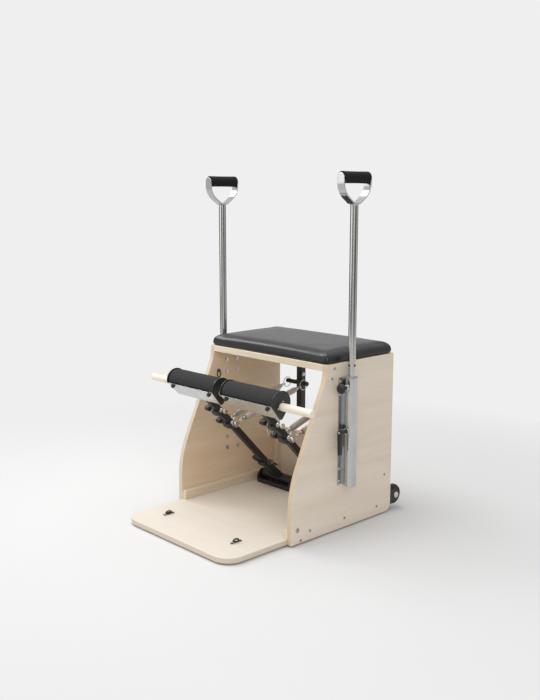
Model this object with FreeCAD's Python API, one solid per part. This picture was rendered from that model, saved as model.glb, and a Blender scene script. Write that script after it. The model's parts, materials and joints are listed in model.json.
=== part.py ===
import FreeCAD, Part
import math
import os

# Pilates chair with split pedals. Millimetres, +Z up, the front faces -Y and the origin is on
# the floor under the middle of the overall box.

# Plywood box
body_width = 562.0
panel_thickness = 18.0
panel_top = 560.0
panel_top_depth = 334.0
panel_foot_depth = 490.0
upper_bend_height = 520.0
lower_bend_height = 179.0
upper_bend_radius = 150.0
lower_bend_radius = 350.0
heel_radius = 28.0
panel_edge_ease = 2.0
base_length = 740.0
base_thickness = 18.0
base_corner_radius = 60.0
back_panel_height = 182.0
back_panel_thickness = 18.0
batten_thickness = 18.0
batten_height = 33.0
batten_ease = 4.0
seat_board_thickness = 21.0
foot_height = 5.0
foot_size = 36.0
foot_inset = 45.0

# Seat cushion
cushion_overhang = 4.0
cushion_height = 36.0
cushion_crown = 8.0
cushion_corner_radius = 26.0
cushion_edge_roll = 26.0
cushion_swell_height = 12.0
cushion_crown_run = 100.0
cushion_side_draw = 3.0
cushion_foot_draw = 5.0
soft_clearance = 0.3

# Pedal pivots on the base
pedal_side_gap = 4.0
pedal_middle_gap = 34.0
pivot_setback = 129.0
pivot_height = 55.0
pivot_shaft_radius = 8.0
pivot_head_radius = 11.0
pivot_head_length = 5.0
sleeve_radius = 17.0
sleeve_inset = 46.0
bush_wall = 4.0
bush_flange_radius = 15.0
bush_flange = 3.0
bush_length = 24.0
bush_side_play = 1.0
bracket_plate = 6.0
bracket_depth = 64.0
bracket_ear = 6.0
bracket_front_lip = 17.0
bracket_back_lip = 24.0
bracket_ear_round = 13.5
bracket_bolt_pitch = 36.0
bracket_bolt_inset = 16.0
running_fit = 0.05
press_play = 0.02

# Pedal arms
arm_lean = 43.9
arm_reach = 552.0
arm_tube = 22.0
arm_edge_radius = 3.0
knuckle_length = 78.0
knuckle_width = 44.0
arm_flange = 5.0
arm_flange_width = 70.0
arm_flange_depth = 46.0
cross_bolt_station = 109.0
spring_pin_drop = 202.0
upper_peg_drop = 129.0
pin_radius = 5.0
pin_head_radius = 9.0
pin_head_length = 6.0
pin_tail = 34.0
oval_knob_width = 48.0
oval_knob_height = 24.0
oval_knob_depth = 28.0
oval_knob_bevel = 6.0
knob_gap = 29.0
low_knob_depth = 38.0
low_knob_gap = 3.0
low_knob_tilt = 26.0
wing_hub_radius = 10.0
wing_hub_length = 14.0
wing_root = 2.0
wing_span = 46.0
wing_neck_span = 28.0
wing_height = 25.0
wing_thickness = 9.0
wing_lobe = 12.0
wing_lobe_radius = 5.5
wing_gap = 16.0
wing_turn = 18.0

# Pedals
end_plate = 4.0
pan_depth = 24.0
pan_sheet = 2.5
pan_lip = 14.0
pan_half_width = 39.0
pan_corner_cut = 12.0
pan_fold_radius = 6.0
pad_radius = 39.0
pad_rise = 9.0
pad_end_round = 5.0
arch_fullness = 0.97
bar_tunnel = 4.0
plate_margin = 1.0
plate_tip_drop = 12.0
plate_cap_rise = 9.0
plate_tip_radius = 9.0
plate_shoulder_radius = 10.0
bar_radius = 12.5
bar_length = 780.0
bar_end_bevel = 3.0
bar_hole_play = 0.3
bar_collar = 3.0
bar_collar_radius = 21.0
bumper_radius = 7.5
bumper_tip_radius = 6.0
bumper_length = 10.0
bumper_inset = 22.0
bumper_drop = 11.0

# Springs, their posts and rings
post_size = 25.0
post_inset = 14.0
post_length = 240.0
post_wall_radius = 3.0
post_plate = 5.0
post_plate_width = 80.0
post_bolt_pitch = 54.0
post_plate_depth = 52.0
cross_bar_radius = 8.0
cross_bar_length = 104.0
cross_bar_neck_radius = 5.0
cross_bar_neck_length = 7.0
cross_bar_drop = 138.0
ring_radius = 18.0
ring_wire_radius = 1.6
ring_play = 0.5
wire_sides = 4
front_spring_offset = 24.0
rear_spring_offset = 42.0
spring_turns = 10
spring_coil_radius = 9.0
spring_wire_radius = 2.0
spring_eye_radius = 8.0
spring_end_radius = 5.0
spring_taper_halves = 4

# Handles and sockets
socket_standoff = 28.0
pole_setback = 248.0
pole_radius = 12.5
socket_radius = 20.0
socket_wall = 3.0
socket_bottom = 158.0
socket_length = 356.0
socket_flange = 4.0
socket_flange_width = 62.0
socket_web_width = 22.0
socket_bush_length = 24.0
socket_bush_rim = 3.0
socket_plug_length = 8.0
handle_travel = 200.0
index_pitch = 100.0
index_hole_radius = 4.0
pole_wall = 2.5
pole_cap = 6.0
loop_drop = 81.0
loop_half_width = 65.0
loop_band = 4.5
loop_band_width = 28.0
loop_bend_drop = 45.0
loop_bend_radius = 60.0
loop_foot_half_width = 13.0
loop_foot_radius = 12.0
grip_height = 1137.0
grip_radius = 18.5
grip_end_gap = 1.0
grip_rod_radius = 6.0
grip_end_bevel = 6.0

# Index plunger and clamp lever on each socket
plunger_height = 484.0
plunger_boss_radius = 9.0
plunger_boss_length = 9.0
plunger_nose_radius = 3.3
plunger_nose_gap = 0.6
plunger_travel = 7.0
plunger_knob_radius = 14.5
plunger_knob_length = 22.0
plunger_knob_bevel = 4.4
slide_play = 0.1
lever_height = 342.0
lever_boss_radius = 10.0
lever_boss_length = 6.0
lever_stud_radius = 5.0
lever_hub_radius = 7.0
lever_hub_length = 30.0
lever_hub_gap = 1.0
lever_reach = 74.0
lever_tip_radius = 4.5
lever_tip_round = 4.0
lever_thickness = 11.0

# Transport wheels
wheel_overhang = 72.0
wheel_radius = 35.0
wheel_width = 24.0
wheel_height = 50.0
wheel_inset = 22.0
wheel_hub_radius = 14.0
wheel_dish = 4.0
wheel_rim = 8.0
wheel_edge_bevel = 5.0
wheel_ear = 3.0
wheel_ear_gap = 2.0
wheel_plate = 4.0
wheel_plate_height = 62.0
wheel_window = 42.0
wheel_ear_radius = 12.0
wheel_ear_round = 11.0
axle_radius = 4.0
axle_head_radius = 7.0
axle_head = 3.0

# Eyes on the base board
eye_inset = 92.0
eye_from_front = 118.0
eye_plate_length = 47.0
eye_plate_width = 13.0
eye_plate = 2.0
eye_plate_round = 5.5
eye_bow_length = 24.0
eye_bow_height = 13.0
eye_bow_width = 7.0
eye_bow_bar = 3.2
eye_bow_radius = 7.0
eye_screw_pitch = 36.0

# Fasteners
screw_head_radius = 5.0
screw_head = 2.0
batten_screw_rise = 13.0
batten_screw_shares = (0.18, 0.53, 0.88)
base_screw_share = 0.09
back_screw_setback = 36.0
back_screw_rise = 118.0
seat_screw_setback = 36.0
seat_screw_drop = 15.0
panel_screw_setback = 25.0
panel_screw_drop = 46.0
cap_head_radius = 8.0
cap_head = 3.0
nut_radius = 6.5
nut_height = 3.0
bolt_head_radius = 7.0
bolt_head = 5.0
flange_screw_radius = 4.5
flange_screw_edge = 5.5
flange_screw_end = 13.0
flange_screw_pitch = 42.0

# Places worked out from the sizes above
depth = base_length + wheel_overhang
front_y = -depth / 2
back_y = front_y + base_length
outer_x = body_width / 2
inner_x = outer_x - panel_thickness
pedal_length = inner_x - pedal_side_gap - pedal_middle_gap / 2
lane = (pedal_middle_gap + pedal_length) / 2
sleeve_length = pedal_length - 2 * sleeve_inset
base_top = foot_height + base_thickness
panel_front_top = back_y - panel_top_depth
panel_front_foot = back_y - panel_foot_depth
back_panel_front = back_y - back_panel_thickness
seat_underside = panel_top - seat_board_thickness
pivot_y = back_y - pivot_setback
lean = math.radians(arm_lean)
spring_pin_station = arm_reach - spring_pin_drop
upper_peg_station = arm_reach - upper_peg_drop
bar_y = pivot_y - arm_reach * math.sin(lean)
bar_z = pivot_height + arm_reach * math.cos(lean)
pole_x = outer_x + socket_standoff
pole_y = back_y - pole_setback
socket_top = socket_bottom + socket_length
pole_top = grip_height - loop_drop
loop_bend_height = grip_height - loop_bend_drop
grip_length = 2 * (loop_half_width - loop_band - grip_end_gap)
post_y = back_y - post_inset
cross_bar_y = post_y - post_size / 2 - cross_bar_radius
cross_bar_z = seat_underside - cross_bar_drop
spring_pin_y = pivot_y - spring_pin_station * math.sin(lean)
spring_pin_z = pivot_height + spring_pin_station * math.cos(lean)
wheel_x = outer_x - wheel_inset
eye_side = inner_x - eye_inset
wheel_y = back_y + wheel_overhang - wheel_radius
pad_half_length = pedal_length / 2 - end_plate - soft_clearance
sides = {"left": -1, "right": 1}

origin = FreeCAD.Vector(0, 0, 0)
along_x = FreeCAD.Vector(1, 0, 0)
along_y = FreeCAD.Vector(0, 1, 0)
along_z = FreeCAD.Vector(0, 0, 1)


# Shape helpers

def vec(x, y, z):
    return FreeCAD.Vector(x, y, z)


def block(x0, x1, y0, y1, z0, z1):
    return Part.makeBox(x1 - x0, y1 - y0, z1 - z0, vec(x0, y0, z0))


def rod(start, direction, length, radius):
    return Part.makeCylinder(radius, length, start, direction)


def hex_head(start, direction, length, radius):
    # Hexagonal prism on the given axis.
    turn = FreeCAD.Rotation(along_z, direction)
    points = []
    for index in range(7):
        angle = math.radians(60 * index)
        corner = vec(radius * math.cos(angle), radius * math.sin(angle), 0)
        points.append(start + turn.multVec(corner))
    return Part.Face(Part.makePolygon(points)).extrude(direction * length)


def on_side(shape, side):
    # Pieces are drawn for the right-hand side and mirrored for the left.
    if side > 0:
        return shape
    return shape.mirror(origin, along_x)


def fused(shapes):
    whole = shapes[0]
    for shape in shapes[1:]:
        whole = whole.fuse(shape)
    return whole.removeSplitter()


def rounded_outline(corners, place):
    # Closed wire through (u, v, radius) corners, each rounded by a tangent arc.
    flat = [vec(u, v, 0) for u, v, radius in corners]
    cuts = []
    for index, (u, v, radius) in enumerate(corners):
        point = flat[index]
        back = (flat[index - 1] - point).normalize()
        ahead = (flat[(index + 1) % len(flat)] - point).normalize()
        half = back.getAngle(ahead) / 2
        run = radius / math.tan(half)
        middle = (back + ahead).normalize()
        crown = point + middle * (radius / math.sin(half) - radius)
        cuts.append((point + back * run, crown, point + ahead * run, radius))
    edges = []
    for index, (start, crown, end, radius) in enumerate(cuts):
        if radius > 0:
            edges.append(Part.Arc(place(start), place(crown), place(end)).toShape())
        following = cuts[(index + 1) % len(cuts)][0]
        if (following - end).Length > 1e-6:
            edges.append(Part.LineSegment(place(end), place(following)).toShape())
    return Part.Wire(edges)


def inset_corners(corners, inset):
    # The same convex outline moved inwards by a wall.
    flat = [vec(u, v, 0) for u, v, radius in corners]
    moved = []
    for index, (u, v, radius) in enumerate(corners):
        point = flat[index]
        back = (flat[index - 1] - point).normalize()
        ahead = (flat[(index + 1) % len(flat)] - point).normalize()
        half = back.getAngle(ahead) / 2
        step = (back + ahead).normalize() * (inset / math.sin(half))
        moved.append((u + step.x, v + step.y, max(radius - inset, 0)))
    return moved


def side_prism(corners, x0, x1):
    # A (y, z) outline drawn out along X.
    wire = rounded_outline(corners, lambda p: vec(x0, p.x, p.y))
    return Part.Face(wire).extrude(vec(x1 - x0, 0, 0))


def floor_prism(corners, z0, z1):
    # An (x, y) outline drawn out along Z.
    wire = rounded_outline(corners, lambda p: vec(p.x, p.y, z0))
    return Part.Face(wire).extrude(vec(0, 0, z1 - z0))


def save(name, shape):
    shape.exportStep(os.path.join("parts", name + ".step"))


# Plywood box

def base_board():
    corners = [
        (-inner_x, front_y, base_corner_radius),
        (inner_x, front_y, base_corner_radius),
        (inner_x, back_y, 0),
        (-inner_x, back_y, 0),
    ]
    return floor_prism(corners, foot_height, base_top)


def side_panel():
    corners = [
        (back_y, panel_top, 0),
        (panel_front_top, panel_top, 0),
        (panel_front_top, upper_bend_height, upper_bend_radius),
        (panel_front_foot, lower_bend_height, lower_bend_radius),
        (panel_front_foot, foot_height, panel_edge_ease),
        (back_y, foot_height, heel_radius),
    ]
    return side_prism(corners, inner_x, outer_x)


def back_panel():
    top = base_top + back_panel_height
    corners = [
        (back_panel_front, base_top, 0),
        (back_y, base_top, 0),
        (back_y, top, panel_edge_ease),
        (back_panel_front, top, panel_edge_ease),
    ]
    return side_prism(corners, -inner_x, inner_x)


def seat_board():
    return block(-inner_x, inner_x, panel_front_top, back_y, seat_underside, panel_top)


def floor_batten():
    corners = [
        (inner_x - batten_thickness, base_top, 0),
        (inner_x, base_top, 0),
        (inner_x, base_top + batten_height, 0),
        (inner_x - batten_thickness, base_top + batten_height, batten_ease),
    ]
    front = panel_front_foot + panel_edge_ease
    wire = rounded_outline(corners, lambda p: vec(p.x, front, p.y))
    return Part.Face(wire).extrude(vec(0, back_panel_front - front, 0))


def corner_batten():
    corners = [
        (inner_x - batten_thickness, back_panel_front - batten_thickness, batten_ease),
        (inner_x, back_panel_front - batten_thickness, 0),
        (inner_x, back_panel_front, 0),
        (inner_x - batten_thickness, back_panel_front, 0),
    ]
    return floor_prism(corners, base_top + batten_height, base_top + back_panel_height)


def base_feet():
    feet = []
    for x in (-inner_x + foot_inset, inner_x - foot_inset):
        for y in (front_y + base_corner_radius, panel_front_foot + foot_inset, back_y - foot_inset):
            half = foot_size / 2
            feet.append(block(x - half, x + half, y - half, y + half, 0, foot_height))
    return Part.Compound(feet)


# Seat cushion

def cushion_section(inset, height):
    # One level of the cushion: rounded corners, and sides that draw in between them.
    half_x = outer_x + cushion_overhang - inset
    half_y = panel_top_depth / 2 + cushion_overhang - inset
    radius = max(cushion_corner_radius - inset / 2, 4)
    middle_y = (panel_front_top + back_y) / 2
    slant = radius * (1 - math.sqrt(0.5))
    points = []
    for sx, sy in ((1, -1), (1, 1), (-1, 1), (-1, -1)):
        ends = [
            vec(sx * (half_x - radius), middle_y + sy * half_y, height),
            vec(sx * half_x, middle_y + sy * (half_y - radius), height),
        ]
        if sx * sy > 0:
            ends.reverse()
        crown = vec(sx * (half_x - slant), middle_y + sy * (half_y - slant), height)
        points.append((ends[0], crown, ends[1]))
    edges = []
    for index, (start, crown, end) in enumerate(points):
        edges.append(Part.Arc(start, crown, end).toShape())
        following = points[(index + 1) % 4][0]
        middle = (end + following) * 0.5
        inward = (vec(0, middle_y, height) - middle).normalize()
        edges.append(Part.Arc(end, middle + inward * cushion_side_draw, following).toShape())
    return Part.Wire(edges)


def seat_cushion():
    # Sides swell and roll over at the top edge, then rise to the crown.
    foot = panel_top + soft_clearance
    edge = foot + cushion_height
    swell = foot + cushion_swell_height
    levels = [(cushion_foot_draw, foot), (0, swell)]
    for step in range(1, 5):
        turn = math.radians(90 * step / 4)
        inset = cushion_edge_roll * (1 - math.cos(turn))
        levels.append((inset, swell + (edge - swell) * math.sin(turn)))
    for step in range(1, 4):
        share = step / 3
        inset = cushion_edge_roll + cushion_crown_run * share
        levels.append((inset, edge + cushion_crown * math.sin(math.radians(90 * share))))
    return Part.makeLoft([cushion_section(inset, height) for inset, height in levels], True, True)


# Pedal pivots

def pivot_bracket(x):
    # Channel on the base with two round-topped ears that carry the shaft.
    half = sleeve_length / 2 + bush_flange + bush_side_play + bracket_ear
    y0 = pivot_y - bracket_depth / 2
    y1 = pivot_y + bracket_depth / 2
    plate_top = base_top + bracket_plate
    pieces = [block(x - half, x + half, y0, y1, base_top, plate_top)]
    pieces.append(block(x - half, x + half, y0, y0 + bracket_ear, plate_top,
                        base_top + bracket_front_lip))
    pieces.append(block(x - half, x + half, y1 - bracket_ear, y1, plate_top,
                        base_top + bracket_back_lip))
    crown = pivot_height + sleeve_radius
    ear = [
        (y0, plate_top, 0),
        (y1, plate_top, 0),
        (y1, base_top + bracket_back_lip, 0),
        (pivot_y + sleeve_radius, crown, bracket_ear_round),
        (pivot_y - sleeve_radius, crown, bracket_ear_round),
        (y0, base_top + bracket_back_lip, 0),
    ]
    pieces.append(side_prism(ear, x - half, x - half + bracket_ear))
    pieces.append(side_prism(ear, x + half - bracket_ear, x + half))
    bracket = fused(pieces)
    hole = rod(vec(x - half, pivot_y, pivot_height), along_x, 2 * half, pivot_shaft_radius + press_play)
    return bracket.cut(hole)


def pivot_shaft(x):
    half = sleeve_length / 2 + bush_flange + bush_side_play + bracket_ear
    shaft = rod(vec(x - half - pivot_head_length, pivot_y, pivot_height), along_x,
                2 * half + pivot_head_length, pivot_shaft_radius)
    head = hex_head(vec(x - half - pivot_head_length, pivot_y, pivot_height), along_x,
                    pivot_head_length, pivot_head_radius)
    tail = hex_head(vec(x + half, pivot_y, pivot_height), along_x, pivot_head_length,
                    pivot_head_radius)
    return fused([shaft, head, tail])


def bush(start, direction):
    # Flanged bush pushed into one end of the sleeve.
    bore = pivot_shaft_radius + running_fit
    body = rod(start, direction, bush_length, bore + bush_wall)
    flange = rod(start - direction * bush_flange, direction, bush_flange, bush_flange_radius)
    hole = rod(start - direction * bush_flange, direction, bush_length + bush_flange, bore)
    return body.fuse(flange).cut(hole)


def arm_bushes(x):
    half = sleeve_length / 2
    return Part.Compound([
        bush(vec(x - half, pivot_y, pivot_height), along_x),
        bush(vec(x + half, pivot_y, pivot_height), along_x * -1),
    ])


# Pedal arms, drawn upright on the pivot and leaned forward

def leaned(shape, x):
    shape.rotate(origin, along_x, arm_lean)
    shape.translate(vec(x, pivot_y, pivot_height))
    return shape


def pedal_arm(x):
    half = arm_tube / 2
    top = arm_reach - pan_depth
    square = [
        (-half, -half, arm_edge_radius),
        (half, -half, arm_edge_radius),
        (half, half, arm_edge_radius),
        (-half, half, arm_edge_radius),
    ]
    tube = floor_prism(square, knuckle_length / 2, top)
    sleeve = rod(vec(-sleeve_length / 2, 0, 0), along_x, sleeve_length, sleeve_radius)
    knuckle = [
        (-knuckle_width / 2, 0, 0),
        (knuckle_width / 2, 0, 0),
        (half, knuckle_length, 0),
        (-half, knuckle_length, 0),
    ]
    wire = rounded_outline(knuckle, lambda p: vec(p.x, -half, p.y))
    web = Part.Face(wire).extrude(vec(0, arm_tube, 0))
    flange = block(-arm_flange_width / 2, arm_flange_width / 2, -arm_flange_depth / 2,
                   arm_flange_depth / 2, top - arm_flange, top)
    arm = fused([sleeve, web, tube, flange])
    bore = pivot_shaft_radius + running_fit + bush_wall + press_play
    arm = arm.cut(rod(vec(-sleeve_length / 2, 0, 0), along_x, sleeve_length, bore))
    for station in (cross_bolt_station, spring_pin_station, upper_peg_station):
        arm = arm.cut(rod(vec(-half, 0, station), along_x, arm_tube, pin_radius + press_play))
    return leaned(arm, x)


def arm_pin(station, left_end, right_end):
    shank = rod(vec(-left_end, 0, station), along_x, left_end + right_end, pin_radius)
    head = hex_head(vec(right_end, 0, station), along_x, pin_head_length, pin_head_radius)
    return shank.fuse(head)


def arm_pins(x):
    # Cross bolt, spring pin and upper peg, each right through the arm.
    half = arm_tube / 2
    wing_end = half + wing_gap + wing_hub_length
    bolt = rod(vec(-half - low_knob_gap, 0, cross_bolt_station), along_x,
               half + low_knob_gap + wing_end, pin_radius)
    pins = [
        bolt,
        arm_pin(spring_pin_station, knob_gap, pin_tail),
        arm_pin(upper_peg_station, knob_gap, pin_tail),
    ]
    return leaned(Part.Compound(pins), x)


def oval_knob(station, gap, length, tilt):
    # Flat oval grip on the left end of its pin, tilted down towards the back.
    wide = oval_knob_width / 2
    high = oval_knob_height / 2
    oval = [
        (-wide, -high, high),
        (wide, -high, high),
        (wide, high, high),
        (-wide, high, high),
    ]
    knob = side_prism(oval, -gap - length, -gap)
    rims = [e for e in knob.Edges if abs(e.tangentAt(e.FirstParameter).x) < 1e-6]
    knob = knob.makeChamfer(oval_knob_bevel, rims)
    knob.rotate(origin, along_x, -arm_lean - tilt)
    knob.translate(vec(0, 0, station))
    return knob


def arm_knobs(x):
    # The two on the pins lie level; the one on the cross bolt is longer and tilted.
    knobs = [
        oval_knob(cross_bolt_station, arm_tube / 2 + low_knob_gap, low_knob_depth, low_knob_tilt),
        oval_knob(spring_pin_station, knob_gap, oval_knob_depth, 0),
        oval_knob(upper_peg_station, knob_gap, oval_knob_depth, 0),
    ]
    return leaned(Part.Compound(knobs), x)


def arm_wing_nut(x):
    # Two rounded wings on a hub, threaded on the end of the cross bolt.
    start = arm_tube / 2 + wing_gap
    hub = rod(vec(start, 0, 0), along_x, wing_hub_length, wing_hub_radius)
    tip = wing_span / 2
    neck = wing_neck_span / 2
    wing = [
        (0, wing_root, 0),
        (neck, wing_root, wing_root),
        (tip, wing_height - wing_lobe, wing_lobe_radius),
        (tip, wing_height, wing_lobe_radius),
        (tip - wing_lobe, wing_height, wing_lobe_radius),
        (0, wing_hub_length - wing_root, 0),
    ]
    wings = []
    for turn in (1, -1):
        corners = [(turn * u, v, r) for u, v, r in wing]
        wire = rounded_outline(corners, lambda p: vec(start + p.y, -wing_thickness / 2, p.x))
        wings.append(Part.Face(wire).extrude(vec(0, wing_thickness, 0)))
    nut = fused([hub] + wings)
    bore = rod(vec(start, 0, 0), along_x, wing_height, pin_radius + running_fit)
    nut = nut.cut(bore)
    nut.rotate(origin, along_x, wing_turn)
    nut.translate(vec(0, 0, cross_bolt_station))
    return leaned(nut, x)


# Pedals, drawn round the push bar's axis

def to_bar(shape, x):
    shape.translate(vec(x, bar_y, bar_z))
    return shape


def trough_point(distance, half_width):
    # Height at which the sloping trough wall reaches a half width.
    return (half_width * math.sin(lean) - distance) / math.cos(lean)


def pedal_pan(x):
    # Folded trough: two sloping walls that meet below the bar, with lips under the pad.
    outer_low = trough_point(pan_depth, 0)
    outer_high = trough_point(pan_depth, pan_half_width)
    half = pedal_length / 2 - end_plate
    outer = [
        (0, outer_low, pan_fold_radius),
        (pan_half_width, outer_high, 0),
        (-pan_half_width, outer_high, 0),
    ]
    shell = side_prism(outer, -half, half)
    inner_low = trough_point(pan_depth - pan_sheet, 0)
    inner_high = outer_high - pan_sheet
    reach = (pan_depth - pan_sheet + inner_high * math.cos(lean)) / math.sin(lean)
    inner = [(0, inner_low, pan_fold_radius - pan_sheet), (reach, inner_high, 0), (-reach, inner_high, 0)]
    shell = shell.cut(side_prism(inner, -half, half))
    mouth = pan_half_width - pan_lip
    shell = shell.cut(block(-half, half, -mouth, mouth, inner_high - pan_sheet, outer_high + pan_sheet))
    for turn in (-1, 1):
        cut = [
            (turn * half, outer_low - pan_sheet, 0),
            (turn * half, outer_high - pan_sheet * 3, 0),
            (turn * (half - pan_corner_cut), outer_low - pan_sheet, 0),
        ]
        wire = rounded_outline(cut, lambda p: vec(p.x, -pan_half_width, p.y))
        shell = shell.cut(Part.Face(wire).extrude(vec(0, 2 * pan_half_width, 0)))
    return to_bar(shell, x)


def shield(drop):
    # Arch over the pad, shoulders, and a V that follows the trough and ends below it by the drop.
    half = pad_radius + plate_margin
    top = pad_rise + half
    shoulder = trough_point(pan_depth + plate_margin, half)
    tip = trough_point(pan_depth + plate_margin, 0) - drop
    return [
        (half, top, half * arch_fullness),
        (-half, top, half * arch_fullness),
        (-half, shoulder, plate_shoulder_radius),
        (0, tip, plate_tip_radius),
        (half, shoulder, plate_shoulder_radius),
    ]


def pedal_end_plates(x):
    # Deep plate on the right end, shallow one on the left; the outer one has a collar for the bar.
    plates = []
    half = pedal_length / 2
    outward = math.copysign(1, x)
    for turn, drop in ((-1, -plate_cap_rise), (1, plate_tip_drop)):
        start = min(turn * half, turn * (half - end_plate))
        plate = side_prism(shield(drop), start, start + end_plate)
        reach = end_plate
        if turn == outward:
            reach = end_plate + bar_collar
            collar = rod(vec(turn * half, 0, 0), along_x * turn, bar_collar, bar_collar_radius)
            plate = plate.fuse(collar)
        inner_face = vec(turn * (half - end_plate), 0, 0)
        hole = rod(inner_face, along_x * turn, reach, bar_radius + bar_hole_play)
        plates.append(plate.cut(hole))
    return to_bar(Part.Compound(plates), x)


def pedal_pad(x):
    # Half-round foam over the trough, with a tunnel for the bar.
    foot = trough_point(pan_depth, pan_half_width) + soft_clearance
    top = pad_rise + pad_radius
    arch = [
        (pad_radius, top, pad_radius * arch_fullness),
        (-pad_radius, top, pad_radius * arch_fullness),
        (-pad_radius, foot, pad_end_round),
        (pad_radius, foot, pad_end_round),
    ]
    pad = side_prism(arch, -pad_half_length, pad_half_length)
    tunnel = bar_radius + bar_tunnel
    pad = pad.cut(rod(vec(-pad_half_length, 0, 0), along_x, 2 * pad_half_length, tunnel))
    slot = block(-pad_half_length, pad_half_length, -tunnel, tunnel, foot - tunnel, 0)
    return to_bar(pad.cut(slot), x)


def pedal_bumpers(x):
    # Rubber buttons on the front wall of the trough, close under the pad.
    outward = vec(0, -math.sin(lean), -math.cos(lean))
    downward = vec(0, math.cos(lean), -math.sin(lean))
    top_edge = vec(0, -pan_half_width, trough_point(pan_depth, pan_half_width))
    buttons = []
    for turn in (-1, 1):
        seat = top_edge + downward * bumper_drop
        seat.x = turn * (pedal_length / 2 - end_plate - bumper_inset)
        buttons.append(Part.makeCone(bumper_radius, bumper_tip_radius, bumper_length, seat, outward))
    return to_bar(Part.Compound(buttons), x)


def push_bar():
    half = bar_length / 2
    bar = rod(vec(-half, bar_y, bar_z), along_x, bar_length, bar_radius)
    rims = [edge for edge in bar.Edges if abs(abs(edge.CenterOfMass.x) - half) < 1e-6]
    return bar.makeChamfer(bar_end_bevel, rims)


# Spring posts, rings and springs

def spring_post(x):
    # Square post hung from the seat board, with a necked bar across its front.
    half = post_size / 2
    top = seat_underside - post_plate
    square = [
        (x - half, post_y - half, post_wall_radius),
        (x + half, post_y - half, post_wall_radius),
        (x + half, post_y + half, post_wall_radius),
        (x - half, post_y + half, post_wall_radius),
    ]
    post = floor_prism(square, seat_underside - post_length, top)
    plate = block(x - post_plate_width / 2, x + post_plate_width / 2, back_y - post_plate_depth,
                  back_y, top, seat_underside)
    start = x - cross_bar_length / 2
    bar = rod(vec(start, cross_bar_y, cross_bar_z), along_x, cross_bar_length, cross_bar_radius)
    saddle = block(x - half, x + half, cross_bar_y, post_y, cross_bar_z - cross_bar_radius,
                   cross_bar_z + cross_bar_radius)
    whole = fused([post, plate, bar, saddle])
    for turn in (-1, 1):
        neck_x = x + turn * rear_spring_offset - cross_bar_neck_length / 2
        neck_at = vec(neck_x, cross_bar_y, cross_bar_z)
        band = rod(neck_at, along_x, cross_bar_neck_length, cross_bar_radius + 1)
        core = rod(neck_at, along_x, cross_bar_neck_length, cross_bar_neck_radius)
        whole = whole.cut(band.cut(core))
    return whole


def spring_run():
    # Direction from the arm's pin to the post's cross bar, seen from the side.
    pin = vec(0, spring_pin_y, spring_pin_z)
    hook = vec(0, cross_bar_y, cross_bar_z)
    return pin, hook, (hook - pin).normalize()


def wire_section(centre, first, second, radius):
    # Many-sided wire section in the plane of two directions.
    points = []
    for index in range(wire_sides + 1):
        angle = 2 * math.pi * index / wire_sides
        points.append(centre + first * (radius * math.cos(angle)) + second * (radius * math.sin(angle)))
    return Part.makePolygon(points)


def ring(centre):
    section = wire_section(centre + along_y * ring_radius, along_x, along_y, ring_wire_radius)
    return Part.Face(section).revolve(centre, along_x, 360)


def ring_places():
    # Ring centres: each ring hangs on its pin or neck, pulled towards the spring.
    pin, hook, run = spring_run()
    pull_front = ring_radius - ring_wire_radius - pin_radius - ring_play
    pull_rear = ring_radius - ring_wire_radius - cross_bar_neck_radius - ring_play
    return pin + run * pull_front, hook - run * pull_rear, run


def spring_rings(x):
    front, rear, run = ring_places()
    rings = []
    for turn in (-1, 1):
        rings.append(ring(front + vec(x + turn * front_spring_offset, 0, 0)))
        rings.append(ring(rear + vec(x + turn * rear_spring_offset, 0, 0)))
    return Part.Compound(rings)


def arc_from(start, tangent, end):
    # Arc that leaves a point along a tangent and ends at another point.
    chord = end - start
    angle = tangent.getAngle(chord)
    if angle < 1e-4:
        return Part.LineSegment(start, end).toShape()
    side = tangent - chord * (tangent.dot(chord) / chord.dot(chord))
    middle = start + chord * 0.5 + side.normalize() * (chord.Length / 2 * math.tan(angle / 2))
    return Part.Arc(start, middle, end).toShape()


def biarc(start, start_tangent, end, end_tangent):
    # Two arcs that join two points with given tangents.
    chord = end - start
    both = start_tangent + end_tangent
    spread = 2 * (1 - start_tangent.dot(end_tangent))
    along = chord.dot(both)
    reach = (math.sqrt(along * along + spread * chord.dot(chord)) - along) / spread
    first = start + start_tangent * reach
    second = end - end_tangent * reach
    joint = (first + second) * 0.5
    turn = (second - first).normalize()
    return [arc_from(start, start_tangent, joint), arc_from(joint, turn, end)]


def spring_eye(middle, facing):
    # Three quarters of a turn round an eye, with a straight end; facing is the way to the coil.
    eye = spring_eye_radius
    slant = eye * math.sqrt(0.5)
    flat = spring_end_radius
    side = -facing

    def at(across, along):
        return vec(side * across, flat, middle + facing * along)

    tail = Part.LineSegment(at(eye, 2 * spring_wire_radius), at(eye, 0)).toShape()
    arcs = [
        Part.Arc(at(eye, 0), at(slant, -slant), at(0, -eye)).toShape(),
        Part.Arc(at(0, -eye), at(-slant, -slant), at(-eye, 0)).toShape(),
        Part.Arc(at(-eye, 0), at(-slant, slant), at(0, eye)).toShape(),
    ]
    return [tail] + arcs


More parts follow.
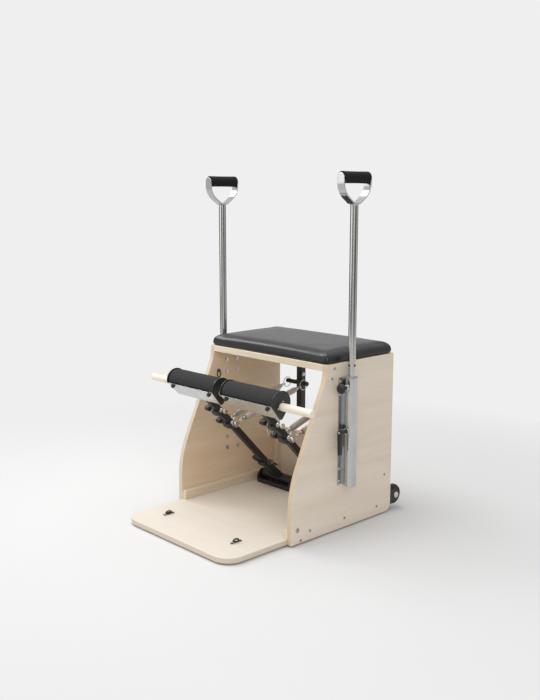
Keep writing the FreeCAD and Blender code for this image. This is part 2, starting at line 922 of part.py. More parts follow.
def spring_path(length):
    # Eye, coil and eye along +Z between the two eye centres, as joined arcs.
    eye = spring_eye_radius
    halves = 2 * spring_turns
    rise = (length - 2 * eye) / (halves - 1)
    growth = (spring_coil_radius - spring_end_radius) / spring_taper_halves
    height = eye
    point = vec(0, spring_end_radius, eye)
    tangent = vec(-1, 0, 0)
    edges = spring_eye(0, 1)
    for index in range(1, halves + 1):
        sign = 1 if index % 2 == 0 else -1
        height += rise / 2 if index in (1, halves) else rise
        to_end = min(index, halves - index)
        radius = spring_end_radius + growth * min(to_end, spring_taper_halves)
        slope = 0 if index == halves else rise / math.pi / radius
        next_point = vec(0, sign * radius, height)
        next_tangent = vec(-sign, 0, slope).normalize()
        edges += biarc(point, tangent, next_point, next_tangent)
        point = next_point
        tangent = next_tangent
    return Part.Wire(edges + spring_eye(length, -1)[::-1])


def least_gap(path):
    # Least clear distance between stretches of the wire that aren't neighbours.
    points = path.discretize(Distance=spring_wire_radius)
    skip = int(math.pi * spring_coil_radius / spring_wire_radius)
    least = 1e9
    for index, point in enumerate(points):
        for other in points[index + skip:]:
            least = min(least, (other - point).Length)
    return least - 2 * spring_wire_radius


def spring(x, turn):
    front, rear, run = ring_places()
    link = spring_eye_radius - spring_wire_radius - ring_wire_radius - ring_play
    front_eye = front + run * (ring_radius + link) + vec(x + turn * front_spring_offset, 0, 0)
    rear_eye = rear - run * (ring_radius + link) + vec(x + turn * rear_spring_offset, 0, 0)
    reach = rear_eye - front_eye
    path = spring_path(reach.Length)
    start = path.Vertexes[0].Point
    section = wire_section(start, along_x, along_y, spring_wire_radius)
    tube = path.makePipeShell([section], True, False)
    gap = least_gap(path)
    # Local +Z runs along the spring and local +X stays level.
    up = reach.cross(along_x).normalize()
    level = up.cross(reach).normalize()
    ahead = FreeCAD.Vector(reach).normalize()
    across = ahead.cross(level)
    frame = FreeCAD.Matrix(level.x, across.x, ahead.x, 0, level.y, across.y, ahead.y, 0,
                           level.z, across.z, ahead.z, 0, 0, 0, 0, 1)
    turned = FreeCAD.Placement(frame)
    turned.Base = front_eye - turned.Rotation.multVec(vec(0, spring_end_radius, 0))
    tube.Placement = turned
    return tube, gap


# Handles and sockets

def handle_socket():
    # Extrusion: flange on the panel, web and tube, with bosses for the two controls.
    flange = block(outer_x, outer_x + socket_flange, pole_y - socket_flange_width / 2,
                   pole_y + socket_flange_width / 2, socket_bottom, socket_top)
    web = block(outer_x + socket_flange, pole_x, pole_y - socket_web_width / 2,
                pole_y + socket_web_width / 2, socket_bottom, socket_top)
    tube = rod(vec(pole_x, pole_y, socket_bottom), along_z, socket_length, socket_radius)
    forward = along_y * -1
    plunger_boss = rod(vec(pole_x, pole_y, plunger_height), forward,
                       socket_radius + plunger_boss_length, plunger_boss_radius)
    lever_boss = rod(vec(pole_x, pole_y, lever_height), forward, socket_radius + lever_boss_length,
                     lever_boss_radius)
    socket = fused([flange, web, tube, plunger_boss, lever_boss])
    bore = rod(vec(pole_x, pole_y, socket_bottom), along_z, socket_length, socket_radius - socket_wall)
    plunger_hole = rod(vec(pole_x, pole_y, plunger_height), forward,
                       socket_radius + plunger_boss_length, plunger_nose_radius + slide_play)
    lever_hole = rod(vec(pole_x, pole_y, lever_height), forward, socket_radius + lever_boss_length,
                     lever_stud_radius + running_fit)
    return socket.cut(bore).cut(plunger_hole).cut(lever_hole)


def socket_bush():
    # Rimmed bush in the top of the socket.
    reach = socket_radius - socket_wall - press_play
    body = rod(vec(pole_x, pole_y, socket_top - socket_bush_length), along_z, socket_bush_length, reach)
    rim = rod(vec(pole_x, pole_y, socket_top), along_z, socket_bush_rim, socket_radius)
    hole = rod(vec(pole_x, pole_y, socket_top - socket_bush_length), along_z,
               socket_bush_length + socket_bush_rim, pole_radius + running_fit)
    return body.fuse(rim).cut(hole)


def socket_plug():
    # Plug in the foot of the socket that the pole stands on.
    reach = socket_radius - socket_wall - press_play
    return rod(vec(pole_x, pole_y, socket_bottom), along_z, socket_plug_length, reach)


def handle_pole():
    # Closed-top tube with a row of index holes in its front wall.
    bottom = socket_bottom + socket_plug_length
    pole = rod(vec(pole_x, pole_y, bottom), along_z, pole_top - bottom, pole_radius)
    inside = rod(vec(pole_x, pole_y, bottom), along_z, pole_top - pole_cap - bottom,
                 pole_radius - pole_wall)
    pole = pole.cut(inside)
    for step in range(int(handle_travel / index_pitch) + 1):
        height = plunger_height - step * index_pitch
        hole = rod(vec(pole_x, pole_y - pole_radius, height), along_y, pole_radius, index_hole_radius)
        pole = pole.cut(hole)
    return pole


def handle_loop():
    # Flat band bent to a stirrup, with round ends and the rod that carries the grip.
    over = grip_height + loop_band_width
    outer = [
        (loop_half_width, over, 0),
        (-loop_half_width, over, 0),
        (-loop_half_width, loop_bend_height, loop_bend_radius),
        (-loop_foot_half_width, pole_top, loop_foot_radius),
        (loop_foot_half_width, pole_top, loop_foot_radius),
        (loop_half_width, loop_bend_height, loop_bend_radius),
    ]
    half = loop_band_width / 2
    shifted = [(u + pole_y, v, r) for u, v, r in outer]
    band = side_prism(shifted, pole_x - half, pole_x + half)
    band = band.cut(side_prism(inset_corners(shifted, loop_band), pole_x - half, pole_x + half))
    y0 = pole_y - loop_half_width
    y1 = pole_y + loop_half_width
    lid = block(pole_x - half, pole_x + half, y0, y1, grip_height, over)
    end = rod(vec(pole_x, y0, grip_height), along_y, y1 - y0, half)
    band = band.cut(lid.cut(end))
    inner_span = 2 * (loop_half_width - loop_band)
    core = block(pole_x - half, pole_x + half, pole_y - inner_span / 2, pole_y + inner_span / 2,
                 grip_height + half - loop_band * 2, over)
    band = band.cut(core)
    grip_rod = rod(vec(pole_x, pole_y - inner_span / 2, grip_height), along_y, inner_span,
                   grip_rod_radius)
    return fused([band, grip_rod])


def handle_grip():
    start = vec(pole_x, pole_y - grip_length / 2, grip_height)
    grip = rod(start, along_y, grip_length, grip_radius)
    rims = [e for e in grip.Edges if abs(abs(e.CenterOfMass.y - pole_y) - grip_length / 2) < 1e-6]
    grip = grip.makeChamfer(grip_end_bevel, rims)
    return grip.cut(rod(start, along_y, grip_length, grip_rod_radius + running_fit))


def index_plunger():
    # Nose, stem and knob, parked with the nose just clear of the pole.
    nose_tip = pole_y - pole_radius - plunger_nose_gap
    boss_face = pole_y - socket_radius - plunger_boss_length
    knob_face = boss_face - plunger_travel - plunger_nose_gap
    forward = along_y * -1
    nose = rod(vec(pole_x, nose_tip, plunger_height), forward, nose_tip - knob_face, plunger_nose_radius)
    knob = rod(vec(pole_x, knob_face, plunger_height), forward, plunger_knob_length,
               plunger_knob_radius)
    tip = knob_face - plunger_knob_length
    rims = [e for e in knob.Edges if e.Closed and abs(e.CenterOfMass.y - tip) < 1e-6]
    knob = knob.makeChamfer(plunger_knob_bevel, rims)
    return fused([nose, knob])


def clamp_lever():
    # Stud through the boss, round hub, and a tapered arm that hangs down at rest.
    stud_tip = pole_y - pole_radius - plunger_nose_gap
    hub_face = pole_y - socket_radius - lever_boss_length - lever_hub_gap
    forward = along_y * -1
    stud = rod(vec(pole_x, stud_tip, lever_height), forward, stud_tip - hub_face, lever_stud_radius)
    hub = rod(vec(pole_x, hub_face, lever_height), forward, lever_hub_length, lever_hub_radius)
    arm_front = hub_face - lever_hub_length
    arm_back = arm_front + lever_thickness
    tip = lever_height - lever_reach
    arm = [
        (pole_x - lever_hub_radius, lever_height, 0),
        (pole_x + lever_hub_radius, lever_height, 0),
        (pole_x + lever_tip_radius, tip, lever_tip_round),
        (pole_x - lever_tip_radius, tip, lever_tip_round),
    ]
    wire = rounded_outline(arm, lambda p: vec(p.x, arm_front, p.y))
    blade = Part.Face(wire).extrude(vec(0, arm_back - arm_front, 0))
    return fused([stud, hub, blade])


# Transport wheels

def wheel():
    # Turned wheel: round-edged tread, dished sides and a longer hub on the axle.
    half = wheel_width / 2
    bore = axle_radius + running_fit
    hub_half = half + wheel_ear_gap / 2
    tread = wheel_radius - wheel_edge_bevel
    rim = wheel_radius - wheel_rim
    side = [
        (bore, hub_half),
        (wheel_hub_radius, hub_half),
        (wheel_hub_radius, half - wheel_dish),
        (rim, half - wheel_dish),
        (rim, half),
        (tread, half),
        (wheel_radius, half - wheel_edge_bevel),
    ]
    section = [(radius, -x, 0) for radius, x in side] + [(r, x, 0) for r, x in reversed(side)]
    wire = rounded_outline(section, lambda p: vec(p.y, p.x, 0))
    turned = Part.Face(wire).revolve(origin, along_x, 360)
    turned.translate(vec(wheel_x, wheel_y, wheel_height))
    return turned


def wheel_bracket():
    # Plate on the back of the box, open behind the wheel, with two ears that hold the axle.
    gap = wheel_width / 2 + wheel_ear_gap
    pieces = [block(wheel_x - gap - wheel_ear, wheel_x + gap + wheel_ear, back_y, back_y + wheel_plate,
                    wheel_height - wheel_plate_height / 2, wheel_height + wheel_plate_height / 2)]
    ear = [
        (back_y, wheel_height - wheel_plate_height / 2, 0),
        (wheel_y + wheel_ear_radius, wheel_height - wheel_ear_radius, wheel_ear_round),
        (wheel_y + wheel_ear_radius, wheel_height + wheel_ear_radius, wheel_ear_round),
        (back_y, wheel_height + wheel_plate_height / 2, 0),
    ]
    for start in (wheel_x - gap - wheel_ear, wheel_x + gap):
        pieces.append(side_prism(ear, start, start + wheel_ear))
    bracket = fused(pieces)
    window = block(wheel_x - gap, wheel_x + gap, back_y, back_y + wheel_plate,
                   wheel_height - wheel_window / 2, wheel_height + wheel_window / 2)
    hole = rod(vec(wheel_x - gap - wheel_ear, wheel_y, wheel_height), along_x,
               2 * (gap + wheel_ear), axle_radius + press_play)
    return bracket.cut(window).cut(hole)


def wheel_axle():
    half = wheel_width / 2 + wheel_ear_gap + wheel_ear
    pin = rod(vec(wheel_x - half, wheel_y, wheel_height), along_x, 2 * half, axle_radius)
    heads = [
        hex_head(vec(wheel_x - half - axle_head, wheel_y, wheel_height), along_x, axle_head,
                 axle_head_radius),
        hex_head(vec(wheel_x + half, wheel_y, wheel_height), along_x, axle_head, axle_head_radius),
    ]
    return fused([pin] + heads)


# Eyes on the base board

def strap_eye():
    # Low staple on a thin foot plate.
    y = front_y + eye_from_front
    half = eye_plate_length / 2
    plate_corners = [
        (eye_side - eye_plate_width / 2, y - half, eye_plate_round),
        (eye_side + eye_plate_width / 2, y - half, eye_plate_round),
        (eye_side + eye_plate_width / 2, y + half, eye_plate_round),
        (eye_side - eye_plate_width / 2, y + half, eye_plate_round),
    ]
    plate_top = base_top + eye_plate
    plate = floor_prism(plate_corners, base_top, plate_top)
    reach = eye_bow_length / 2
    bow_corners = [
        (y - reach, base_top, 0),
        (y + reach, base_top, 0),
        (y + reach, base_top + eye_bow_height, eye_bow_radius),
        (y - reach, base_top + eye_bow_height, eye_bow_radius),
    ]
    x0 = eye_side - eye_bow_width / 2
    x1 = eye_side + eye_bow_width / 2
    bow = side_prism(bow_corners, x0, x1)
    bow = bow.cut(side_prism(inset_corners(bow_corners, eye_bow_bar), x0, x1))
    return fused([plate, bow])


# Fasteners, each kind a group of separate heads

def screw_places():
    # Screws seen on the outside of a panel, as (y, z).
    span = back_panel_front - panel_front_foot
    along_batten = [panel_front_foot + span * share for share in batten_screw_shares]
    places = [(y, base_top + batten_screw_rise) for y in along_batten]
    places.append((panel_front_foot + span * base_screw_share, foot_height + base_thickness / 2))
    places.append((back_y - back_screw_setback, base_top + back_screw_rise))
    places.append((panel_front_top + seat_screw_setback, panel_top - seat_screw_drop))
    places.append((panel_front_top + panel_screw_setback, panel_top - panel_screw_drop))
    return places


def panel_screws(side):
    heads = []
    for y, z in screw_places():
        heads.append(hex_head(vec(outer_x, y, z), along_x, screw_head, screw_head_radius))
    cap_at = vec(outer_x, panel_front_foot + heel_radius, base_top + heel_radius)
    heads.append(rod(cap_at, along_x, cap_head, cap_head_radius))
    return [on_side(head, side) for head in heads]


def flange_screw_places():
    low = socket_bottom + flange_screw_end
    high = socket_top - flange_screw_end
    heights = (low, low + flange_screw_pitch, high - flange_screw_pitch, high)
    reach = socket_flange_width / 2 - flange_screw_edge
    return [(pole_y + turn * reach, height) for turn in (-1, 1) for height in heights]


def socket_screws(side):
    # Heads on the socket's flange and their nuts on the inside of the panel.
    pieces = []
    for y, z in flange_screw_places():
        head_at = vec(outer_x + socket_flange, y, z)
        pieces.append(hex_head(head_at, along_x, screw_head, flange_screw_radius))
        pieces.append(hex_head(vec(inner_x, y, z), along_x * -1, nut_height, nut_radius))
    return [on_side(piece, side) for piece in pieces]


def frame_bolts(x):
    # Hexagon heads inside a pivot bracket's channel and under a post's plate.
    half = sleeve_length / 2 + bush_flange + bush_side_play
    heads = []
    for turn in (-1, 1):
        floor = x + turn * (half - bracket_bolt_inset)
        for step in (-1, 1):
            seat = vec(floor, pivot_y + step * bracket_bolt_pitch / 2, base_top + bracket_plate)
            heads.append(hex_head(seat, along_z, bolt_head, bolt_head_radius))
        under = vec(x + turn * post_bolt_pitch / 2, post_y, seat_underside - post_plate)
        heads.append(hex_head(under, along_z * -1, bolt_head, bolt_head_radius))
    return heads


def eye_screws():
    y = front_y + eye_from_front
    top = base_top + eye_plate
    heads = []
    for side in sides.values():
        for turn in (-1, 1):
            seat = vec(side * eye_side, y + turn * eye_screw_pitch / 2, top)
            heads.append(hex_head(seat, along_z, screw_head, flange_screw_radius))
    return heads


def write_parts():
    os.makedirs("parts", exist_ok=True)
    both = sides.values()
    save("base_board", base_board())
    save("back_panel", back_panel())
    save("seat_board", seat_board())
    save("seat_cushion", seat_cushion())
    save("base_feet", base_feet())
    save("floor_battens", Part.Compound([on_side(floor_batten(), side) for side in both]))
    save("corner_battens", Part.Compound([on_side(corner_batten(), side) for side in both]))
    save("strap_eyes", Part.Compound([on_side(strap_eye(), side) for side in both]))
    save("wheel_brackets", Part.Compound([on_side(wheel_bracket(), side) for side in both]))
    save("wheel_axles", Part.Compound([on_side(wheel_axle(), side) for side in both]))
    save("panel_screws", Part.Compound([s for side in both for s in panel_screws(side)]))
    save("socket_screws", Part.Compound([s for side in both for s in socket_screws(side)]))
    bolts = [b for side in both for b in frame_bolts(side * lane)]
    save("frame_bolts", Part.Compound(bolts + eye_screws()))
    save("pivot_shafts", Part.Compound([pivot_shaft(side * lane) for side in both]))
    bushes = [on_side(piece, side) for side in both for piece in (socket_bush(), socket_plug())]
    save("socket_bushes", Part.Compound(bushes))
    save("push_bar", push_bar())
    gaps = []
    for name, side in sides.items():
        x = side * lane
        save("side_panel_" + name, on_side(side_panel(), side))
        save("handle_socket_" + name, on_side(handle_socket(), side))
        save("handle_pole_" + name, on_side(handle_pole(), side))
        save("handle_loop_" + name, on_side(handle_loop(), side))
        save("handle_grip_" + name, on_side(handle_grip(), side))
        save("index_plunger_" + name, on_side(index_plunger(), side))
        save("clamp_lever_" + name, on_side(clamp_lever(), side))
        save("wheel_" + name, on_side(wheel(), side))
        save("pivot_bracket_" + name, pivot_bracket(x))
        save("arm_bushes_" + name, arm_bushes(x))
        save("pedal_arm_" + name, pedal_arm(x))
        save("arm_pins_" + name, arm_pins(x))
        save("arm_knobs_" + name, arm_knobs(x))
        save("arm_wing_nut_" + name, arm_wing_nut(x))
        save("pedal_pan_" + name, pedal_pan(x))
        save("pedal_end_plates_" + name, pedal_end_plates(x))
        save("pedal_pad_" + name, pedal_pad(x))
        save("pedal_bumpers_" + name, pedal_bumpers(x))
        save("spring_post_" + name, spring_post(x))
        save("spring_rings_" + name, spring_rings(x))
        for place, turn in (("outer", side), ("inner", -side)):
            coil, gap = spring(x, turn)
            save("spring_" + name + "_" + place, coil)
            gaps.append(gap)
    print("least gap between the turns of a spring, mm:", round(min(gaps), 2))


write_parts()
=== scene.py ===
import json
import math
import bmesh
import bpy
from mathutils import Matrix, Vector


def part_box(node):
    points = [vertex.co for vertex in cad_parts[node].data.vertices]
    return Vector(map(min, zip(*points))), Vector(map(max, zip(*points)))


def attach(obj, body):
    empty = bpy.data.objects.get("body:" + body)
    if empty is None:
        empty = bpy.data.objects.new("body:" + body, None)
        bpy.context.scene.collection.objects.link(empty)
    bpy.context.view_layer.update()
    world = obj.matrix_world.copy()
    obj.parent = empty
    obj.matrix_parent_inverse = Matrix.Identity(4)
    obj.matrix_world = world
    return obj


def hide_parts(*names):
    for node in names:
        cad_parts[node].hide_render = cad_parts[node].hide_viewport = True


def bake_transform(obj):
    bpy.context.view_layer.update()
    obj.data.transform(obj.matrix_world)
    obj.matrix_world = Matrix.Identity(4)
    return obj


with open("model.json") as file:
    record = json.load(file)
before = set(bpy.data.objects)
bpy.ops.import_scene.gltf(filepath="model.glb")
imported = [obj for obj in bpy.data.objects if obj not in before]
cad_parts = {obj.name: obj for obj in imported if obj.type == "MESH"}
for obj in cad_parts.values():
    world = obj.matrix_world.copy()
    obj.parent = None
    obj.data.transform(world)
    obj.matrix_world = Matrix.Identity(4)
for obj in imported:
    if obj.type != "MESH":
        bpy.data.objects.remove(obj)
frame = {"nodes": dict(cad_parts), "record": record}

scene = bpy.context.scene
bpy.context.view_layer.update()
nodes = frame["nodes"]
bodyOf = {}
for bodyName, members in frame["record"]["behaviour"]["bodies"].items():
    for member in members:
        bodyOf[member] = bodyName
acrossX = Vector((1, 0, 0))
acrossY = Vector((0, 1, 0))
upZ = Vector((0, 0, 1))
sideSigns = {"left": -1, "right": 1}
print("chair frame loaded with", len(nodes), "nodes")


# shapes are (points, faces) pairs, in metres
def lathe(profile, segments):
    points, faces, rings = [], [], []
    for radius, height in profile:
        if radius < 1e-6:
            rings.append([len(points)])
            points.append(Vector((0, 0, height)))
            continue
        rings.append(list(range(len(points), len(points) + segments)))
        for i in range(segments):
            turn = math.tau * i / segments
            points.append(Vector((radius * math.cos(turn), radius * math.sin(turn), height)))
    for low, high in zip(rings, rings[1:]):
        for i in range(segments):
            j = (i + 1) % segments
            face = [low[i % len(low)], low[j % len(low)], high[j % len(high)], high[i % len(high)]]
            face = list(dict.fromkeys(face))
            if len(face) > 2:
                faces.append(face)
    return points, faces


def softened(corners, radius, steps):
    corners = [Vector(c) for c in corners]
    eased = [corners[0]]
    for before, corner, after in zip(corners, corners[1:], corners[2:]):
        back, onward = before - corner, after - corner
        cut = min(radius, back.length * 0.48, onward.length * 0.48)
        first = corner + back.normalized() * cut
        last = corner + onward.normalized() * cut
        for k in range(steps + 1):
            t = k / steps
            eased.append(first * (1 - t) ** 2 + corner * (2 * t * (1 - t)) + last * t ** 2)
    eased.append(corners[-1])
    return eased


def tube(path, radius, sides, closed=False):
    path = [Vector(p) for p in path]
    points, faces, aside = [], [], None
    for i, point in enumerate(path):
        ahead = path[(i + 1) % len(path)] if closed or i + 1 < len(path) else point
        behind = path[i - 1] if closed or i else point
        along = (ahead - behind).normalized()
        aside = along.orthogonal() if aside is None else aside
        aside = (aside - along * aside.dot(along)).normalized()
        over = along.cross(aside)
        for s in range(sides):
            turn = math.tau * s / sides
            points.append(point + (aside * math.cos(turn) + over * math.sin(turn)) * radius)
    spans = len(path) if closed else len(path) - 1
    for i in range(spans):
        here, there = i * sides, (i + 1) % len(path) * sides
        for s in range(sides):
            n = (s + 1) % sides
            faces.append([here + s, here + n, there + n, there + s])
    if not closed:
        faces.append(list(reversed(range(sides))))
        faces.append(list(range(spans * sides, spans * sides + sides)))
    return points, faces


def loopOf(middle, first, second, count):  # points round an ellipse with these half axes
    turns = [math.tau * k / count for k in range(count)]
    return [middle + first * math.cos(turn) + second * math.sin(turn) for turn in turns]


def placed(shape, matrix):
    return [matrix @ p for p in shape[0]], shape[1]


def combined(shapes):
    points, faces = [], []
    for shape in shapes:
        start = len(points)
        points.extend(shape[0])
        faces.extend([[i + start for i in face] for face in shape[1]])
    return points, faces


def aimed(origin, axis):
    turn = upZ.rotation_difference(Vector(axis)).to_matrix().to_4x4()
    return Matrix.Translation(origin) @ turn


def stretched(shape, origin, first, second, third):  # X, Y and Z go to the three vectors
    axes = Matrix((first, second, third)).transposed().to_4x4()
    return placed(shape, Matrix.Translation(origin) @ axes)


def latheAt(origin, axis, profile, rounding, steps, segments):
    return placed(lathe(softened(profile, rounding, steps), segments), aimed(origin, axis))


def islandsOf(nodeName):  # boxes of the loose solids in one node
    bm = bmesh.new()
    bm.from_mesh(nodes[nodeName].data)
    bmesh.ops.remove_doubles(bm, verts=bm.verts, dist=1e-6)
    waiting, boxes = set(bm.verts), []
    while waiting:
        found = [waiting.pop()]
        for vert in found:
            for edge in vert.link_edges:
                other = edge.other_vert(vert)
                if other in waiting:
                    waiting.remove(other)
                    found.append(other)
        low = Vector([min(v.co[i] for v in found) for i in range(3)])
        high = Vector([max(v.co[i] for v in found) for i in range(3)])
        boxes.append((low, high))
    bm.free()
    return sorted(boxes, key=lambda box: [round(c, 4) for c in (*box[0], *box[1])])


def seatAt(x, box):  # level with the middle of a box
    low, high = box
    return Vector((x, (low.y + high.y) / 2, (low.z + high.z) / 2))


def newPiece(name, shape, finish, body, replaced=(), sharp=38):  # body, or a node to ride along with
    mesh = bpy.data.meshes.new(name)
    mesh.from_pydata([tuple(p) for p in shape[0]], [], shape[1])
    mesh.update()
    mesh.shade_smooth()
    mesh.set_sharp_from_angle(angle=math.radians(sharp))
    mesh.materials.append(finish)
    piece = bpy.data.objects.new(name, mesh)
    scene.collection.objects.link(piece)
    if replaced:
        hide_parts(*replaced)
    if body:
        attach(piece, bodyOf.get(body, body))
    return piece


def standIn(nodeName, name, shape, finish, sharp=38):
    return newPiece(name, shape, finish, nodeName, [nodeName], sharp)


def shapeOf(bm):
    bm.verts.index_update()
    shape = [v.co.copy() for v in bm.verts], [[v.index for v in face.verts] for face in bm.faces]
    bm.free()
    return shape


def cleanMesh(nodeName, flatness=0.6):
    bm = bmesh.new()
    bm.from_mesh(nodes[nodeName].data)
    bmesh.ops.remove_doubles(bm, verts=bm.verts, dist=2e-6)
    bmesh.ops.dissolve_limit(bm, angle_limit=math.radians(flatness), verts=bm.verts, edges=bm.edges)
    bmesh.ops.recalc_face_normals(bm, faces=bm.faces)
    return shapeOf(bm)


def easeEdges(piece, width):
    bevel = piece.modifiers.new("easedEdges", "BEVEL")
    bevel.width = width
    bevel.segments = 2
    bevel.limit_method = "ANGLE"
    bevel.angle_limit = math.radians(32)
    weigh = piece.modifiers.new("flatFaces", "WEIGHTED_NORMAL")
    weigh.keep_sharp = True


# a socket knows its own node tree, as id_data
def shaderNode(tree, kind, inputs, **settings):     # inputs are sockets to link or plain values
    made = tree.nodes.new("ShaderNode" + kind)
    for setting, value in settings.items():
        setattr(made, setting, value)
    for name, value in inputs.items():
        if isinstance(value, bpy.types.NodeSocket):
            tree.links.new(value, made.inputs[name])
        else:
            made.inputs[name].default_value = value
    return made.outputs


def startFinish(name, roughness, metallic=0.0):
    finish = bpy.data.materials.new(name)
    finish.use_nodes = True
    tree = finish.node_tree
    shader = tree.nodes["Principled BSDF"]
    shader.inputs["Roughness"].default_value = roughness
    shader.inputs["Metallic"].default_value = metallic
    return finish, shader, shaderNode(tree, "TexCoord", {})


def cloud(place, perMetre, detail=5, roughness=0.6, swirl=0.0):
    rate = perMetre if isinstance(perMetre, (tuple, list)) else (perMetre,) * 3
    tree = place["Object"].id_data
    spot = shaderNode(tree, "VectorMath", {0: place["Object"], 1: rate}, operation="MULTIPLY")[0]
    noise = {"Vector": spot, "Scale": 1, "Detail": detail, "Roughness": roughness, "Distortion": swirl}
    return shaderNode(tree, "TexNoise", noise)["Fac"]


def cells(place, perMetre, feature="F1"):
    spots = {"Vector": place["Object"], "Scale": perMetre}
    return shaderNode(place["Object"].id_data, "TexVoronoi", spots, feature=feature)["Distance"]


def shades(factor, *stops):
    tree = factor.id_data
    ramp = tree.nodes.new("ShaderNodeValToRGB")
    while len(ramp.color_ramp.elements) < len(stops):
        ramp.color_ramp.elements.new(0.5)
    for element, (position, colour) in zip(ramp.color_ramp.elements, stops):
        element.position = position
        element.color = (*colour, 1)
    tree.links.new(factor, ramp.inputs["Fac"])
    return ramp.outputs["Color"]


def grey(value):
    return (value, value, value)


def mixed(factor, first, second, mode="MIX"):
    inputs = {0: factor, 6: first, 7: second}
    return shaderNode(first.id_data, "Mix", inputs, data_type="RGBA", blend_type=mode)[2]


def spread(factor, low, high, fromLow=0.3, fromHigh=0.7):
    ends = {"From Min": fromLow, "From Max": fromHigh, "To Min": low, "To Max": high}
    return shaderNode(factor.id_data, "MapRange", {"Value": factor, **ends})["Result"]


def coat(shader, colour, roughness=None):
    links = shader.id_data.links
    links.new(colour, shader.inputs["Base Color"])
    if roughness:
        links.new(roughness, shader.inputs["Roughness"])


def relief(shader, height, strength, distance, under=None):
    bump = {"Strength": strength, "Distance": distance, "Height": height}
    if under:
        bump["Normal"] = under
    tree = shader.id_data
    normal = shaderNode(tree, "Bump", bump)["Normal"]
    tree.links.new(normal, shader.inputs["Normal"])
    return normal


axisIndex = {"X": 0, "Y": 1, "Z": 2}


def alongGrain(grain, across, along):
    rate = [across] * 3
    rate[axisIndex[grain]] = along
    return rate


birch = {
    "pale": (0.84, 0.745, 0.625),
    "mid": (0.80, 0.695, 0.57),
    "dark": (0.745, 0.63, 0.50),
    "edgePale": (0.76, 0.67, 0.56),
    "edgeDark": (0.60, 0.50, 0.39),
    # painted shade: warm, darker tints for the face that looks into the box
    "paintedShadePale": (1.0, 0.92, 0.81),
    "paintedShadeDark": (0.97, 0.86, 0.73),
    "bleached": (0.83, 0.785, 0.71),
    "layer": 0.0014,     # one veneer
    "roughness": 0.5,
    "figure": (11.0, 0.8),     # per metre, across and along the grain
    "fibres": (320.0, 9.0),
    "flecks": (180.0, 30.0),
}


def birchPly(name, grain, through, inside=None, bleach=0.0):
    # veneer with long faint figure; the layers show where the board is cut; inside paints shade on the face
    # that looks into the box
    rough = birch["roughness"]
    finish, shader, place = startFinish(name, rough)
    tree = finish.node_tree
    figure = cloud(place, alongGrain(grain, *birch["figure"]), 6, 0.55, 0.35)
    fibres = cloud(place, alongGrain(grain, *birch["fibres"]), 4, 0.7)
    flecks = cloud(place, alongGrain(grain, *birch["flecks"]), 2, 0.5)
    washed = Vector(birch["bleached"])
    tones = [Vector(birch[tone]).lerp(washed, bleach) for tone in ("dark", "mid", "pale")]
    veneer = shades(figure, *zip((0.30, 0.48, 0.66), tones))
    lines = shades(fibres, (0.25, grey(0.86)), (0.6, grey(1.0)))
    veneer = mixed(0.55, veneer, lines, "MULTIPLY")
    spots = shades(flecks, (0.70, grey(1.0)), (0.80, grey(0.80)))
    veneer = mixed(0.5, veneer, spots, "MULTIPLY")
    perLayer = math.tau / (20 * 2 * birch["layer"])
    wave = {"Vector": place["Object"], "Scale": perLayer, "Distortion": 0.4}
    bands = shaderNode(tree, "TexWave", wave, bands_direction=through)["Fac"]
    layers = shades(bands, (0.35, birch["edgeDark"]), (0.6, birch["edgePale"]))
    outward = shaderNode(tree, "SeparateXYZ", {0: place["Normal"]})[axisIndex[through]]
    square = shaderNode(tree, "Math", {0: outward}, operation="ABSOLUTE")[0]
    surface = mixed(spread(square, 0.0, 1.0, 0.55, 0.8), layers, veneer)
    if inside:     # painted shade: the face that looks into the box, and on the right panel the cut edges too, gets a darker, warmer tint for the shade and bounced light under the seat
        ends = (0.0, 1.0) if inside > 0 else (1.0, 0.0)
        paintedShadeTint = shades(figure, (0.3, birch["paintedShadeDark"]), (0.7, birch["paintedShadePale"]))
        shaded = mixed(1.0, surface, paintedShadeTint, "MULTIPLY")
        surface = mixed(spread(outward, *ends, 0.2, 0.6), surface, shaded)
    coat(shader, surface, spread(fibres, rough - 0.06, rough + 0.08))
    relief(shader, fibres, 0.12, 0.0003)
    return finish


def solidWood(name, pale, dark, grain):
    finish, shader, place = startFinish(name, 0.48)
    figure = cloud(place, alongGrain(grain, 26.0, 1.6), 6, 0.6, 0.7)
    fibres = cloud(place, alongGrain(grain, 420.0, 14.0), 3, 0.6)
    lines = shades(fibres, (0.3, grey(0.82)), (0.62, grey(1.0)))
    coat(shader, mixed(0.5, shades(figure, (0.32, dark), (0.62, pale)), lines, "MULTIPLY"))
    relief(shader, fibres, 0.12, 0.0003)
    return finish


def seatVinylFinish():
    finish, shader, place = startFinish("seatVinyl", 0.42)
    tone = cloud(place, 22)
    colour = shades(tone, (0.3, (0.005, 0.005, 0.0055)), (0.7, (0.009, 0.009, 0.0095)))
    coat(shader, colour, spread(cloud(place, 35, 6), 0.28, 0.34))
    first = relief(shader, cells(place, 720, "SMOOTH_F1"), 0.07, 0.0005)
    relief(shader, cloud(place, 260, 4), 0.04, 0.0005, first)
    return finish


def foamFinish(name, low, high):
    finish, shader, place = startFinish(name, 0.86)
    specks = cells(place, 900)
    tone = cloud(place, 60)
    colour = shades(tone, (0.3, grey(low)), (0.7, grey(high)))
    pores = shades(specks, (0.05, grey(0.55)), (0.35, grey(1.0)))
    coat(shader, mixed(0.7, colour, pores, "MULTIPLY"), spread(tone, 0.78, 0.92))
    first = relief(shader, specks, 0.35, 0.0006)
    relief(shader, cloud(place, 700, 3), 0.25, 0.0005, first)
    shader.inputs["Specular IOR Level"].default_value = 0.3
    return finish


def mouldedFinish(name, low, high, roughness, pebbleRate=1500, strength=0.12):
    # paint, plastic and rubber: broken tone, fine orange peel
    finish, shader, place = startFinish(name, roughness)
    colour = shades(cloud(place, 45), (0.3, low), (0.7, high))
    wear = cloud(place, 90, 6)
    coat(shader, colour, spread(wear, roughness - 0.07, roughness + 0.07))
    relief(shader, cloud(place, pebbleRate, 2), strength, 0.0004)
    return finish


